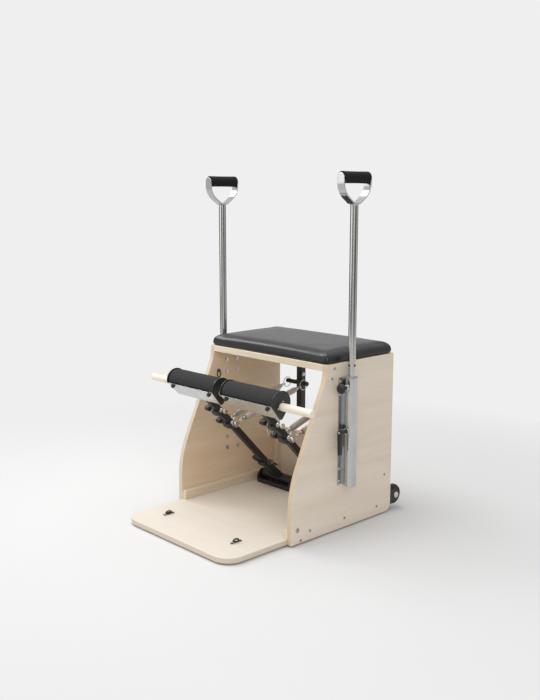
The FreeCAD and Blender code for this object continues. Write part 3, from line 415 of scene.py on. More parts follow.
def metalFinish(name, low, high, roughness, brush, strength=0.06):
    # brush is the rate per metre, along each axis where it is brushed one way
    finish, shader, place = startFinish(name, roughness, 1.0)
    colour = shades(cloud(place, 28, 4), (0.3, low), (0.7, high))
    streak = cloud(place, brush, 3)
    coat(shader, colour, spread(streak, roughness * 0.75, roughness * 1.3))
    relief(shader, streak, strength, 0.0002)
    return finish


def eyeFinish():
    # bright foot plate, dark oxide on the bow over it
    finish, shader, place = startFinish("eyeSteel", 0.34, 1.0)
    height = shaderNode(finish.node_tree, "SeparateXYZ", {0: place["Object"]})[2]
    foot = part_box("strap_eyes")[0].z
    share = spread(height, 0.0, 1.0, foot + 0.0021, foot + 0.0034)
    smear = cloud(place, 300, 4)
    bright = shades(smear, (0.3, (0.60, 0.55, 0.48)), (0.7, (0.74, 0.69, 0.62)))
    dark = shades(smear, (0.3, grey(0.05)), (0.7, grey(0.12)))
    coat(shader, mixed(share, bright, dark))
    relief(shader, smear, 0.06, 0.0002)
    return finish


# side panels are copies of one birch; the last argument picks the face that gets painted shade
leftPlyPaintedShade = birchPly("birchLeftPlyPaintedShade", "Y", "X", 1)
rightPlyPaintedShade = birchPly("birchRightPlyPaintedShade", "Y", "X", -1)
basePly = birchPly("birchBasePly", "X", "Z", bleach=0.55)
railWood = solidWood("railWood", (0.88, 0.755, 0.59), (0.80, 0.67, 0.50), "X")
backPly = birchPly("birchBackPly", "X", "Y")
battenWood = solidWood("battenWood", (0.82, 0.70, 0.55), (0.74, 0.61, 0.45), "Y")
barWood = solidWood("barWood", (0.90, 0.83, 0.71), (0.83, 0.74, 0.60), "X")
seatVinyl = seatVinylFinish()
padFoam = foamFinish("padFoam", 0.022, 0.034)
gripFoam = foamFinish("gripFoam", 0.004, 0.007)
blackPaint = mouldedFinish("blackPaint", grey(0.012), grey(0.020), 0.42, 1300, 0.16)
blackPlastic = mouldedFinish("blackPlastic", grey(0.010), grey(0.017), 0.34, 2200, 0.08)
blackRubber = mouldedFinish("blackRubber", grey(0.012), grey(0.022), 0.68, 900, 0.2)
hubPlastic = mouldedFinish("hubPlastic", grey(0.018), grey(0.028), 0.40, 1800, 0.1)
greyPaint = metalFinish("troughSheet", grey(0.52), grey(0.60), 0.26, (14, 900, 900))
chrome = metalFinish("chrome", grey(0.63), grey(0.70), 0.14, 60, 0.01)
loopChrome = metalFinish("loopChrome", grey(0.46), grey(0.53), 0.15, 60, 0.006)
warmLow, warmHigh = (0.50, 0.49, 0.47), (0.56, 0.55, 0.53)
poleChrome = metalFinish("poleChrome", warmLow, warmHigh, 0.18, (30, 30, 2), 0.002)
brushed = (500, 500, 9)
satinAluminium = metalFinish("satinAluminium", grey(0.47), grey(0.54), 0.16, brushed, 0.02)
zincSteel = metalFinish("zincSteel", grey(0.58), grey(0.68), 0.26, 300, 0.05)
bushPlastic = mouldedFinish("bushPlastic", grey(0.30), grey(0.36), 0.5, 1800, 0.1)
eyeSteel = eyeFinish()
agedLow, agedHigh = (0.38, 0.34, 0.29), (0.50, 0.46, 0.40)
agedZinc = metalFinish("agedZinc", agedLow, agedHigh, 0.36, 300, 0.05)
darkZinc = metalFinish("darkZinc", grey(0.06), grey(0.11), 0.38, 300)
drawnLow, drawnHigh = (0.58, 0.56, 0.52), (0.70, 0.68, 0.64)
springSteel = metalFinish("springSteel", drawnLow, drawnHigh, 0.36, 400, 0.04)
redTag = mouldedFinish("redTag", (0.50, 0.03, 0.03), (0.60, 0.05, 0.04), 0.4)
greenTag = mouldedFinish("greenTag", (0.03, 0.26, 0.08), (0.05, 0.34, 0.11), 0.4)
print("finishes ready:", len(bpy.data.materials))


def both(name):
    return [name + "_" + side for side in sideSigns]


# boards and other rigid nodes, with how far their edges are broken
easedNodes = [
    (["side_panel_left"], leftPlyPaintedShade, 0.0016),
    (["side_panel_right"], rightPlyPaintedShade, 0.0016),
    (["base_board"], basePly, 0.0022),
    (["seat_board"], railWood, 0.0012),
    (["back_panel"], backPly, 0.0014),
    (["floor_battens", "corner_battens"], battenWood, 0.0015),
    (both("pedal_arm"), blackPaint, 0.0008),
    (both("pivot_bracket"), blackPaint, 0.0010),
    (both("spring_post"), blackPaint, 0.0010),
    (both("pedal_pan"), greyPaint, 0.0005),
    (both("pedal_end_plates"), blackPaint, 0.0012),
    (both("pedal_bumpers"), blackRubber, 0.0016),
    (both("handle_socket"), satinAluminium, 0.0006),
    (both("handle_pole"), poleChrome, 0.0006),
    (both("handle_loop"), loopChrome, 0.0008),
    (["socket_bushes"], bushPlastic, 0.0006),
    (both("clamp_lever"), blackPlastic, 0.0014),
    (["wheel_brackets"], blackPaint, 0.0008),
    (["strap_eyes"], eyeSteel, 0.0006),
    (["base_feet"], blackRubber, 0.0010),
    (both("arm_bushes"), blackPlastic, 0.0005),
    (both("arm_pins"), chrome, 0.0005),
    (["pivot_shafts", "wheel_axles"], zincSteel, 0.0006),
]
for names, finish, width in easedNodes:
    for nodeName in names:
        easeEdges(standIn(nodeName, nodeName + "_eased", cleanMesh(nodeName), finish), width)
print("boards and metalwork dressed")


# stuffed pieces: a form a little small, remeshed and swelled as cloth
def takeShape(piece):  # the modifiers' result becomes the mesh
    depsgraph = bpy.context.evaluated_depsgraph_get()
    shaped = bpy.data.meshes.new_from_object(piece.evaluated_get(depsgraph))
    finish = piece.data.materials[0]
    piece.modifiers.clear()
    piece.data = shaped
    if not len(shaped.materials):
        shaped.materials.append(finish)


def swell(piece, low, plan):
    before = [v.co.copy() for v in piece.data.vertices]
    held = piece.vertex_groups.new(name="held")
    for vert in piece.data.vertices:
        if plan["held"](vert.co, low):
            held.add([vert.index], 1.0, "REPLACE")
    cloth = piece.modifiers.new("stuffing", "CLOTH")
    cloth.settings.quality = 5
    cloth.settings.mass = 0.4
    cloth.settings.use_pressure = True
    cloth.settings.uniform_pressure_force = plan["pressure"]
    cloth.settings.tension_stiffness = plan["skin"]
    cloth.settings.compression_stiffness = plan["skin"]
    cloth.settings.bending_stiffness = 0.5
    cloth.settings.vertex_group_mass = "held"
    cloth.settings.effector_weights.gravity = 0
    cloth.collision_settings.use_collision = False
    cloth.point_cache.frame_start = 1
    cloth.point_cache.frame_end = 20
    for step in range(1, 21):
        scene.frame_set(step)
    takeShape(piece)
    scene.frame_set(1)
    for vert, start in zip(piece.data.vertices, before):
        move = vert.co - start
        if move.length > plan["cap"]:
            vert.co = start + move.normalized() * plan["cap"]


def smoothSkin(piece, rounds):
    bm = bmesh.new()
    bm.from_mesh(piece.data)
    everyAxis = {"use_axis_x": True, "use_axis_y": True, "use_axis_z": True}
    for k in range(rounds):
        bmesh.ops.smooth_vert(bm, verts=bm.verts, factor=0.5, **everyAxis)
    bm.to_mesh(piece.data)
    bm.free()


def stuffed(nodeName, finish, plan):
    low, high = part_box(nodeName)
    points, faces = plan["form"](nodeName, low, high)
    middle = (low + high) / 2
    shrunk = []
    for p in points:
        shrunk.append(Vector([middle[i] + (p[i] - middle[i]) * plan["shrink"][i] for i in range(3)]))
    lift = Vector((0, 0, low.z - min(p.z for p in shrunk)))
    shape = [p + lift for p in shrunk], faces
    piece = newPiece(nodeName + "_stuffed", shape, finish, None, [nodeName])
    remesh = piece.modifiers.new("evenSkin", "REMESH")
    remesh.mode = "VOXEL"
    remesh.voxel_size = plan["voxel"]
    takeShape(piece)
    swell(piece, low, plan)
    for vert in piece.data.vertices:     # never past the space that the solid holds
        for i in range(3):
            vert.co[i] = min(max(vert.co[i], low[i] + plan["inside"]), high[i] - plan["inside"])
    smoothSkin(piece, plan["smoothing"])
    finer = piece.modifiers.new("finerSkin", "SUBSURF")
    finer.levels = finer.render_levels = 1
    piece.data.shade_smooth()
    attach(piece, bodyOf[nodeName])
    print(nodeName, "stuffed with", len(piece.data.vertices), "points")


def solidForm(nodeName, low, high):
    return cleanMesh(nodeName, 0.1)


def cushionForm(nodeName, low, high):
    # rounded block with a flat foot, a crown, and sides drawn in between the corners
    bm = bmesh.new()
    bmesh.ops.create_cube(bm, size=2)
    bmesh.ops.subdivide_edges(bm, edges=bm.edges[:], cuts=cushion["cuts"], use_grid_fill=True)
    half, middle = (high - low) / 2, (low + high) / 2
    roll = cushion["edgeRoll"]
    tall = (high.z - low.z - cushion["crown"] + cushion["tuck"]) / 2
    reach = [half.x - roll, half.y - roll, tall - roll]
    for vert in bm.verts:
        spot = Vector((vert.co.x * half.x, vert.co.y * half.y, vert.co.z * tall))
        core = Vector([max(-reach[i], min(reach[i], spot[i])) for i in range(3)])
        out = spot - core
        if out.length > 1e-9:
            spot = core + out.normalized() * roll
        u, v = spot.x / half.x, spot.y / half.y
        if vert.co.z > 0:
            spot.z += cushion["crown"] * (1 - u * u) * (1 - v * v) * vert.co.z
        spot.x -= math.copysign(cushion["draw"], u) * (1 - v * v) * abs(u) ** 6
        spot.y -= math.copysign(cushion["draw"], v) * (1 - u * u) * abs(v) ** 6
        spot.z = max(spot.z + tall - cushion["tuck"], 0.0)
        vert.co = Vector((middle.x, middle.y, low.z)) + spot
    bmesh.ops.remove_doubles(bm, verts=bm.verts, dist=1e-5)
    return shapeOf(bm)


cushion = {
    "form": cushionForm,
    "cuts": 40,
    "edgeRoll": 0.019,
    "crown": 0.007,
    "tuck": 0.007,       # how far the roll turns under at the foot
    "draw": 0.003,
    "shrink": (0.994, 0.990, 0.95),
    "voxel": 0.005,
    "pressure": 4.0,
    "skin": 12.0,
    "cap": 0.005,
    "smoothing": 6,
    "inside": 0.0002,
    "fill": 0.75,
    "held": lambda point, low: point.z < low.z + 0.004,
}
stuffed("seat_cushion", seatVinyl, cushion)

pedalPad = {
    "form": solidForm,
    "shrink": (0.998, 0.98, 0.98),
    "voxel": 0.004,
    "pressure": 3.0,
    "skin": 15.0,
    "cap": 0.002,
    "smoothing": 2,
    "inside": 0.0002,
    "fill": 0.9,
    "held": lambda point, low: point.z < low.z + 0.014 and abs(point.y - low.y - 0.039) < 0.022,
}
for nodeName in both("pedal_pad"):
    stuffed(nodeName, padFoam, pedalPad)

grip = {"endRound": 0.006, "waist": 0.0006, "rings": 44, "coreShare": 0.34, "fill": 0.9}
for side in sideSigns:
    nodeName = "handle_grip_" + side
    low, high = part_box(nodeName)
    radius, half = (high.x - low.x) / 2, (high.y - low.y) / 2
    core = radius * grip["coreShare"]
    profile = [(core, -half), (radius, -half)]
    for k in range(1, grip["rings"]):
        t = k / grip["rings"] * 2 - 1
        profile.append((radius - grip["waist"] * math.cos(t * math.pi / 2), half * t))
    profile += [(radius, half), (core, half), (core, -half)]
    foam = latheAt((low + high) / 2, acrossY, profile, grip["endRound"], 4, 48)
    standIn(nodeName, "handle_grip_foam_" + side, foam, gripFoam, 60)
print("grips turned")


# springs: close-wound, narrowing to an eye at each end
spring = {
    "wire": 0.0026,
    "pitch": 0.00285,
    "bodyRadius": 0.0096,
    "neckRadius": 0.0042,
    "taper": 0.022,
    "eyeRadius": 0.0078,
    "eyeReach": 0.0225,    # from the ring's centre to the eye's
    "eyeSteps": 21,
    "eyeSweep": 350,
    "neckSteps": 8,        # last steps of an eye, which lead out to the coil
    "perTurn": 14,
    "ringWire": 0.0013,
    "ringSteps": 56,
}
springTag = {     # coloured sleeve on the front neck
    "finishes": {"spring_left_inner": greenTag, "spring_right_outer": redTag},
    "profile": [(0.0066, -0.005), (0.0074, -0.005), (0.0082, 0.005), (0.0070, 0.005), (0.0066, -0.005)],
    "fromEye": 0.018,
}


def smoothStep(t):
    t = min(max(t, 0), 1)
    return t * t * (3 - 2 * t)


def springLine(length):
    # local frame: Z along the spring, eyes flat in the XZ plane
    neck, eye = spring["neckRadius"], spring["eyeRadius"]
    last, lead = spring["eyeSteps"], spring["neckSteps"]
    start, end = eye * 1.02, length - eye * 1.02
    turns = round((end - start) / spring["pitch"])
    line = []
    for k in range(last + 1):       # eye, from its cut end round to the neck
        turn = math.radians(100 + spring["eyeSweep"] * k / last)
        aside = neck * smoothStep((k - last + lead) / lead)
        line.append(Vector((eye * math.cos(turn), aside, eye * math.sin(turn))))
    steps = turns * spring["perTurn"]
    for k in range(2, steps - 1):
        t = k / steps
        height = start + (end - start) * t
        near = min(height - start, end - height)
        radius = neck + (spring["bodyRadius"] - neck) * smoothStep(near / spring["taper"])
        angle = math.tau * turns * t
        line.append(Vector((-radius * math.sin(angle), radius * math.cos(angle), height)))
    for k in range(last + 1):
        turn = math.radians(-90 - spring["eyeSweep"] * k / last)
        aside = neck * smoothStep((lead - k) / lead)
        line.append(Vector((eye * math.cos(turn), aside, length + eye * math.sin(turn))))
    return line


def ringShape(box):
    low, high = box
    radius = (high.y - low.y) / 2 - spring["ringWire"]
    circle = loopOf((low + high) / 2, acrossY * radius, upZ * radius, spring["ringSteps"])
    return tube(circle, spring["ringWire"], 10, True)


for side in sideSigns:
    boxes = sorted(islandsOf("spring_rings_" + side), key=lambda box: box[0].y)
    fronts = sorted(boxes[:2], key=lambda box: box[0].x)
    rears = sorted(boxes[2:], key=lambda box: box[0].x)
    pedal = side + "_pedal"
    rearRings = combined([ringShape(box) for box in rears])
    frontRings = combined([ringShape(box) for box in fronts])
    newPiece("spring_rings_rear_" + side, rearRings, zincSteel, "frame", ["spring_rings_" + side])
    newPiece("spring_rings_front_" + side, frontRings, zincSteel, pedal)
    order = ["outer", "inner"] if side == "left" else ["inner", "outer"]
    for which, frontBox, rearBox in zip(order, fronts, rears):
        front, rear = (frontBox[0] + frontBox[1]) / 2, (rearBox[0] + rearBox[1]) / 2
        run = (rear - front).normalized()
        first = front + run * spring["eyeReach"]
        last = rear - run * spring["eyeReach"]
        flat = (acrossX - run * acrossX.dot(run)).normalized()
        wire = tube(springLine((last - first).length), spring["wire"] / 2, 8)
        nodeName = "spring_%s_%s" % (side, which)
        wound = stretched(wire, first, flat, run.cross(flat), run)
        piece = newPiece(nodeName + "_wound", wound, springSteel, None, [nodeName])
        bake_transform(piece)
        if nodeName in springTag["finishes"]:
            sleeve = latheAt(first + run * springTag["fromEye"], run, springTag["profile"], 0.0006, 2, 28)
            newPiece(nodeName + "_tag", sleeve, springTag["finishes"][nodeName], pedal)
print("springs wound")


def screwHead(radius, rise, recess=0.45):
    # domed head with a hollow drive
    hollow = radius * recess
    profile = [(radius, 0), (radius, rise * 0.35), (radius * 0.86, rise * 0.75), (radius * 0.5, rise)]
    profile += [(hollow, rise), (hollow * 0.9, rise * 0.3), (0, rise * 0.25)]
    return lathe(softened(profile, radius * 0.12, 3), 24)


def boltHead(radius, rise, washerShare):
    hexagon = [(radius, 0), (radius, rise * 0.86), (radius * 0.8, rise), (0, rise)]
    wide, thick = radius * washerShare, rise * 0.25
    washer = [(wide, -0.0002), (wide, thick), (radius * 0.4, thick)]
    return combined([lathe(softened(hexagon, radius * 0.05, 2), 6), lathe(softened(washer, 0.0003, 2), 36)])


fastener = {
    "insideX": 0.272,      # socket nuts lie nearer the middle than this, their screws further out
    "underSeat": 0.3,      # frame bolts over this height look down
    "hexRise": 0.004,      # taller frame bolts are hexagons
    "acrossCorners": 0.77,
    "boltWasher": 1.3,
    "nutWasher": 1.6,
}


def headsOn(nodeName):  # (middle of the seat face, outward axis, radius, rise)
    found = []
    for low, high in islandsOf(nodeName):
        size, middle = high - low, (low + high) / 2
        thin = min(range(3), key=lambda i: size[i])
        axis = Vector((0, 0, 0))
        inward = nodeName == "socket_screws" and abs(middle.x) < fastener["insideX"]
        axis[thin] = 1 if thin != 0 else math.copysign(1, middle.x) * (-1 if inward else 1)
        if nodeName == "frame_bolts" and middle.z > fastener["underSeat"]:
            axis = -axis
        seat = middle.copy()
        seat[thin] = middle[thin] - axis[thin] * size[thin] / 2
        found.append((seat, axis, max(size) / 2, size[thin]))
    return found


for nodeName in ("panel_screws", "socket_screws", "frame_bolts"):
    shapes, onEyes = [], []
    for seat, axis, radius, rise in headsOn(nodeName):
        hexed = nodeName == "frame_bolts" and rise > fastener["hexRise"]
        nut = nodeName == "socket_screws" and abs(seat.x) < fastener["insideX"]
        head = screwHead(radius, rise)
        if hexed or nut:
            washer = fastener["nutWasher" if nut else "boltWasher"]
            head = boltHead(radius * fastener["acrossCorners"], rise, washer)
        group = onEyes if nodeName == "frame_bolts" and not hexed else shapes
        group.append(placed(head, aimed(seat, axis)))
    finish = agedZinc if nodeName == "panel_screws" else zincSteel
    standIn(nodeName, nodeName + "_turned", combined(shapes), finish, 30)
    if onEyes:
        newPiece("eye_screws_turned", combined(onEyes), darkZinc, "frame", sharp=30)
print("screws and bolts set")

handKnob = {
    "collarRadius": 0.0118,
    "collarLength": 0.0178,
    "lowCollarLength": 0.0026,
    "lowTilt": 26,
    "dome": [(0, 0.0), (0.60, 0.0), (0.93, 0.09), (1.0, 0.38), (0.98, 0.64), (0.83, 0.87), (0.48, 1), (0, 1)],
    "domeRound": 0.16,
    "waist": [(0, 0), (0.90, 0), (0.90, 0.16), (0.74, 0.36), (0.74, 0.54), (1, 0.86), (1, 1.04), (0, 1.04)],
}
for side in sideSigns:
    knobs, collars = [], []
    nodeName = "arm_knobs_" + side
    islands = sorted(islandsOf(nodeName), key=lambda box: box[0].z)
    level = islands[-1][1] - islands[-1][0]
    dome = lathe(softened(handKnob["dome"], handKnob["domeRound"], 5), 48)
    for k, (low, high) in enumerate(islands):
        seat = seatAt(high.x, (low, high))
        tilt = math.radians(0 if k else handKnob["lowTilt"])
        flat = Vector((0, math.cos(tilt), -math.sin(tilt)))
        axes = flat * level.y / 2, flat.cross(acrossX) * level.z / 2, acrossX * (low.x - high.x)
        knobs.append(stretched(dome, seat, *axes))
        reach = handKnob["collarLength" if k else "lowCollarLength"]
        collar = [(handKnob["collarRadius"] * r, reach * h) for r, h in handKnob["waist"]]
        collars.append(latheAt(seat + acrossX * reach, -acrossX, collar, 0.0006, 2, 32))
    standIn(nodeName, "arm_knobs_moulded_" + side, combined(knobs), blackPlastic, 50)
    newPiece("arm_knob_collars_" + side, combined(collars), blackPlastic, nodeName)
print("hand knobs turned")

wingNut = {
    "lean": 61.9,
    "hub": [(0.0056, 0), (0.0108, 0), (0.0100, 0.008), (0.0084, 0.0125), (0.0056, 0.0135), (0.0056, 0)],
    "wing": [(0.006, 0.0045), (0.011, 0.0075), (0.0145, 0.0125), (0.0162, 0.0172)],
    "wingRadius": 0.0042,
    "lobe": (0.0068, 0.0052, 0.0078),
}
for side in sideSigns:
    nodeName = "arm_wing_nut_" + side
    seat = seatAt(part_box(nodeName)[0].x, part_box(nodeName))
    lean = math.radians(wingNut["lean"])
    across = Vector((0, -math.sin(lean), math.cos(lean)))
    shapes = [latheAt(seat, acrossX, wingNut["hub"], 0.0012, 3, 36)]
    ball = lathe([(math.sin(k * math.pi / 12), -math.cos(k * math.pi / 12)) for k in range(13)], 28)
    wide, thick, tall = wingNut["lobe"]
    for turn in (-1, 1):
        rise = [seat + across * (turn * u) + acrossX * h for u, h in wingNut["wing"]]
        shapes.append(tube(softened(rise, 0.004, 3), wingNut["wingRadius"], 14))
        aside = across.cross(acrossX) * (-turn * thick)
        shapes.append(stretched(ball, rise[-1], across * (turn * wide), aside, acrossX * tall))
    standIn(nodeName, "arm_wing_nut_moulded_" + side, combined(shapes), blackPlastic, 50)
print("wing nuts moulded")

plunger = {
    "stemRadius": 0.0033,
    "fuller": 1.15,
    "length": 0.0195,
    "knob": [(0, 0), (0.55, 0), (0.86, 0.16), (1, 0.42), (0.97, 0.72), (0.8, 0.92), (0.55, 1), (0, 1)],
}
for side in sideSigns:
    nodeName = "index_plunger_" + side
    low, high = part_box(nodeName)
    middle = (low + high) / 2
    radius, length = (high.x - low.x) / 2 * plunger["fuller"], plunger["length"]
    tip = Vector((middle.x, low.y, middle.z))
    knob = [(radius * r, length * h) for r, h in plunger["knob"]]
    standIn(nodeName, "index_knob_" + side, latheAt(tip, acrossY, knob, 0.0035, 4, 40), blackPlastic, 60)
    thin, end = plunger["stemRadius"], high.y - low.y
    stem = [(0, length), (thin, length), (thin, end - 0.0005), (0, end)]
    newPiece("index_stem_" + side, latheAt(tip, acrossY, stem, 0.0008, 2, 28), zincSteel, nodeName)
print("index plungers done")

wheel = {
    "tyreShare": 0.30,
    "sideSet": 0.0015,      # how far the tyre stands back from the hub's ends
    "shoulder": 0.004,
    "hubDish": 0.004,
    "bore": 0.0063,
    "bossTop": 0.011,
    "bossFoot": 0.012,
    "ribs": 5,
    "ribRadius": 0.0016,
}


def hubHalf(inner, face, tread, half):  # from the rim in to the bore, on one side
    rim = tread - 0.0006
    outer = [(inner + 0.0002, rim), (inner - 0.001, rim), (inner - 0.003, face)]
    return outer + [(wheel["bossFoot"], face), (wheel["bossTop"], half), (wheel["bore"], half)]


for side in sideSigns:
    nodeName = "wheel_" + side
    low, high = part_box(nodeName)
    middle = (low + high) / 2
    radius, half = (high.z - low.z) / 2, (high.x - low.x) / 2
    inner = radius * (1 - wheel["tyreShare"])
    tread = half - wheel["sideSet"]
    shoulder = radius - wheel["shoulder"]
    tyre = [(inner, -tread), (shoulder, -tread), (radius, -tread * 0.45), (radius, tread * 0.45)]
    tyre += [(shoulder, tread), (inner, tread), (inner, -tread)]
    standIn(nodeName, "wheel_tyre_" + side, latheAt(middle, acrossX, tyre, 0.004, 4, 64), blackRubber, 50)
    face = half - wheel["hubDish"]
    outerSide = hubHalf(inner, face, tread, half)
    hub = [(r, -h) for r, h in reversed(outerSide)] + outerSide + [(wheel["bore"], -half)]
    parts = [lathe(softened(hub, 0.0012, 3), 56)]
    for k in range(wheel["ribs"]):
        turn = math.tau * k / wheel["ribs"]
        out = Vector((math.cos(turn), math.sin(turn), 0))
        for end in (-1, 1):
            level = upZ * (end * (face - 0.0002))
            rib = [out * r + level for r in (0.0105, inner * 0.6, inner - 0.0015)]
            parts.append(tube(rib, wheel["ribRadius"], 10))
    hubShape = placed(combined(parts), aimed(middle, acrossX))
    newPiece("wheel_hub_" + side, hubShape, hubPlastic, nodeName, sharp=40)

wheelCap = {
    "dome": [(0.0112, 0), (0.0112, 0.0018), (0.0092, 0.0040), (0.0030, 0.0044), (0, 0.0044)],
    "sunk": 0.003,
}
caps = []
for low, high in islandsOf("wheel_axles"):
    turn = math.copysign(1, low.x)
    outer = seatAt(max(low.x * turn, high.x * turn) * turn, (low, high))
    seat = outer - acrossX * (turn * wheelCap["sunk"])
    caps.append(latheAt(seat, acrossX * turn, wheelCap["dome"], 0.0012, 3, 40))
newPiece("wheel_caps", combined(caps), zincSteel, "frame", sharp=40)
print("wheels turned")

bar = {"endRound": 0.004, "spans": 8}
low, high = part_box("push_bar")
barMiddle = (low + high) / 2
radius, half = (high.z - low.z) / 2, (high.x - low.x) / 2
rod = [(0, -half), (radius, -half)]
rod += [(radius, half * k / bar["spans"]) for k in range(1 - bar["spans"], bar["spans"])]
rod += [(radius, half), (0, half)]
rodShape = latheAt(barMiddle, acrossX, rod, bar["endRound"], 5, 48)
standIn("push_bar", "push_bar_turned", rodShape, barWood, 60)
print("push bar turned")

# the trough's front wall is folded deeper than its back wall; its section is set out from the bar's axis
frontWall = {
    "section": [
        (-0.0392, 0.0034), (0.0030, -0.0419), (0.0050, -0.0408),
        (-0.0010, -0.0364), (-0.0012, -0.0300), (-0.0372, 0.0030),
    ],
    "cornerCut": 0.006,
    "ease": 0.0006,
}
for side in sideSigns:
    low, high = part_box("pedal_pan_" + side)
    section = frontWall["section"]
    count = len(section)
    rim, fold = section[0][1], section[1][1]
    points = []
    for y, z in section:
        cut = frontWall["cornerCut"] * (rim - z) / (rim - fold)
        points.append(Vector((low.x + cut, barMiddle.y + y, barMiddle.z + z)))
    points += [Vector((high.x, barMiddle.y + y, barMiddle.z + z)) for y, z in section]
    faces = [[k, (k + 1) % count, (k + 1) % count + count, k + count] for k in range(count)]
    faces += [list(reversed(range(count))), list(range(count, 2 * count))]
    piece = newPiece("pedal_pan_front_" + side, (points, faces), greyPaint, "pedal_pan_" + side)
    easeEdges(piece, frontWall["ease"])
print("trough fronts folded")


# small parts that the nodes leave out
def poleOf(side):  # middle, radius and top of one pole
    low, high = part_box("handle_pole_" + side)
    return (low + high) / 2, (high.x - low.x) / 2, high.z


def laneOf(side):
    low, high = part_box("spring_post_" + side)
    return (low.x + high.x) / 2


def pinsOf(side):  # cross bolt, spring pin and upper peg, from the foot of the arm up
    return sorted(islandsOf("arm_pins_" + side), key=lambda box: box[0].z)


handleWeld = {     # radii count from the pole's surface
    "profile": [
        (-0.001, -0.004), (0.0006, -0.0035), (0.0022, -0.0008),
        (0.0018, 0.0004), (-0.001, 0.0006), (-0.001, -0.004),
    ],
    "sunk": 0.0004,
}


def addWeld(side, sign):  # rolled weld where the band meets the pole
    middle, radius, top = poleOf(side)
    profile = [(radius + r, h) for r, h in handleWeld["profile"]]
    seat = Vector((middle.x, middle.y, top - handleWeld["sunk"]))
    weld = latheAt(seat, upZ, profile, 0.0008, 3, 40)
    newPiece("handle_weld_" + side, weld, poleChrome, "handle_pole_" + side)


indexCollar = {
    "fromTip": 0.0270,     # room for the plunger's travel
    "bore": 0.0046,
    "root": 0.0086,
    "crest": 0.0094,
    "pitch": 0.0011,
    "threads": 9,
    "length": 0.0104,
}


def addIndexCollar(side, sign):  # threaded collar behind the plunger's knob
    low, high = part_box("index_plunger_" + side)
    seat = Vector((poleOf(side)[0].x, low.y + indexCollar["fromTip"], (low.z + high.z) / 2))
    bore, root, length = indexCollar["bore"], indexCollar["root"], indexCollar["length"]
    thread = [(bore, 0)]
    for k in range(indexCollar["threads"]):
        start = indexCollar["pitch"] * k
        thread += [(root, 0.0004 + start), (indexCollar["crest"], 0.0009 + start)]
    thread += [(root, length), (bore, length), (bore, 0)]
    collar = placed(lathe(thread, 32), aimed(seat, acrossY))
    newPiece("index_collar_" + side, collar, zincSteel, "frame", sharp=70)


leverScrew = {"head": (0.0036, 0.0016), "fromTop": 0.007, "sunk": 0.0002}


def addLeverScrew(side, sign):  # cap screw on the clamp lever's hub
    low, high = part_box("clamp_lever_" + side)
    seat = Vector((poleOf(side)[0].x, low.y + leverScrew["sunk"], high.z - leverScrew["fromTop"]))
    head = placed(screwHead(*leverScrew["head"]), aimed(seat, -acrossY))
    newPiece("lever_screw_" + side, head, zincSteel, "clamp_lever_" + side, sharp=30)


# painted shade: dark discs where holes in the pole show dark
poleHoleShade = {
    "overSocket": 0.040,
    "sunk": 0.0016,
    "profile": [(0, 0), (0.0040, 0), (0.0040, 0.0016), (0.0030, 0.0024), (0, 0.0027)],
}


def addPoleHoleShade(side, sign):  # painted shade: two dark rubber discs in the pole, just over the socket, stand in for the shade inside its holes
    middle, radius, top = poleOf(side)
    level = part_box("handle_socket_" + side)[1].z + poleHoleShade["overSocket"]
    holeShades = []
    for out in (-acrossY, acrossX * sign):
        seat = Vector((middle.x, middle.y, level)) + out * (radius - poleHoleShade["sunk"])
        holeShades.append(latheAt(seat, out, poleHoleShade["profile"], 0.0005, 3, 28))
    newPiece("pole_hole_shade_" + side, combined(holeShades), blackRubber, "handle_pole_" + side)


panelRing = {
    "forward": 0.005,      # from the lowest of the panel's upper screws
    "down": 0.048,
    "upperScrews": 0.4,    # screws over this height
    "screw": (0.0064, 0.0064, 0.3),
    "standOff": 0.0036,
    "hang": 0.0110,
    "halfWidth": 0.0085,
    "halfHeight": 0.0135,
    "wire": 0.0017,
}


def addPanelRing(side, sign):  # dark screw and hanging ring inside the panel, under its upper screws
    seats = [head[0] for head in headsOn("panel_screws")]
    seats = [seat for seat in seats if seat.x * sign > 0 and seat.z > panelRing["upperScrews"]]
    lowest = min(seats, key=lambda seat: seat.z)
    panelLow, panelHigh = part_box("side_panel_" + side)
    inward = -acrossX * sign
    face = panelHigh.x if sign < 0 else panelLow.x
    seat = Vector((face, lowest.y - panelRing["forward"], lowest.z - panelRing["down"]))
    middle = seat + inward * panelRing["standOff"] - upZ * panelRing["hang"]
    ring = loopOf(middle, upZ * panelRing["halfHeight"], acrossY * panelRing["halfWidth"], 40)
    screw = placed(screwHead(*panelRing["screw"]), aimed(seat, inward))
    hook = combined([screw, tube(ring, panelRing["wire"], 10, True)])
    newPiece("panel_ring_" + side, hook, darkZinc, "frame", sharp=30)


barScrew = {"turns": (75, 195, 315), "fromAxis": 0.0167, "head": (0.0026, 0.0014)}


def addBarScrews(side, sign):  # three screws round the bar's collar
    plates = "pedal_end_plates_" + side
    low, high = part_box(plates)
    middle = Vector((low.x if sign < 0 else high.x, barMiddle.y, barMiddle.z))
    heads = []
    for turn in barScrew["turns"]:
        out = Vector((0, math.cos(math.radians(turn)), math.sin(math.radians(turn))))
        place = aimed(middle + out * barScrew["fromAxis"], acrossX * sign)
        heads.append(placed(screwHead(*barScrew["head"]), place))
    newPiece("bar_collar_screws_" + side, combined(heads), zincSteel, plates, sharp=30)


postBolt = {"head": (0.0052, 0.0042, 1.35), "aside": 0.0125, "fromBack": 0.0145, "up": 0.131}


def addPostBolt(side, sign):  # bolt through the spring post, over its cross bar
    low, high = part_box("spring_post_" + side)
    heads = []
    for turn in (-1, 1):
        x = laneOf(side) + turn * postBolt["aside"]
        seat = Vector((x, high.y - postBolt["fromBack"], low.z + postBolt["up"]))
        heads.append(placed(boltHead(*postBolt["head"]), aimed(seat, acrossX * turn)))
    newPiece("post_bolt_" + side, combined(heads), zincSteel, "frame", sharp=30)


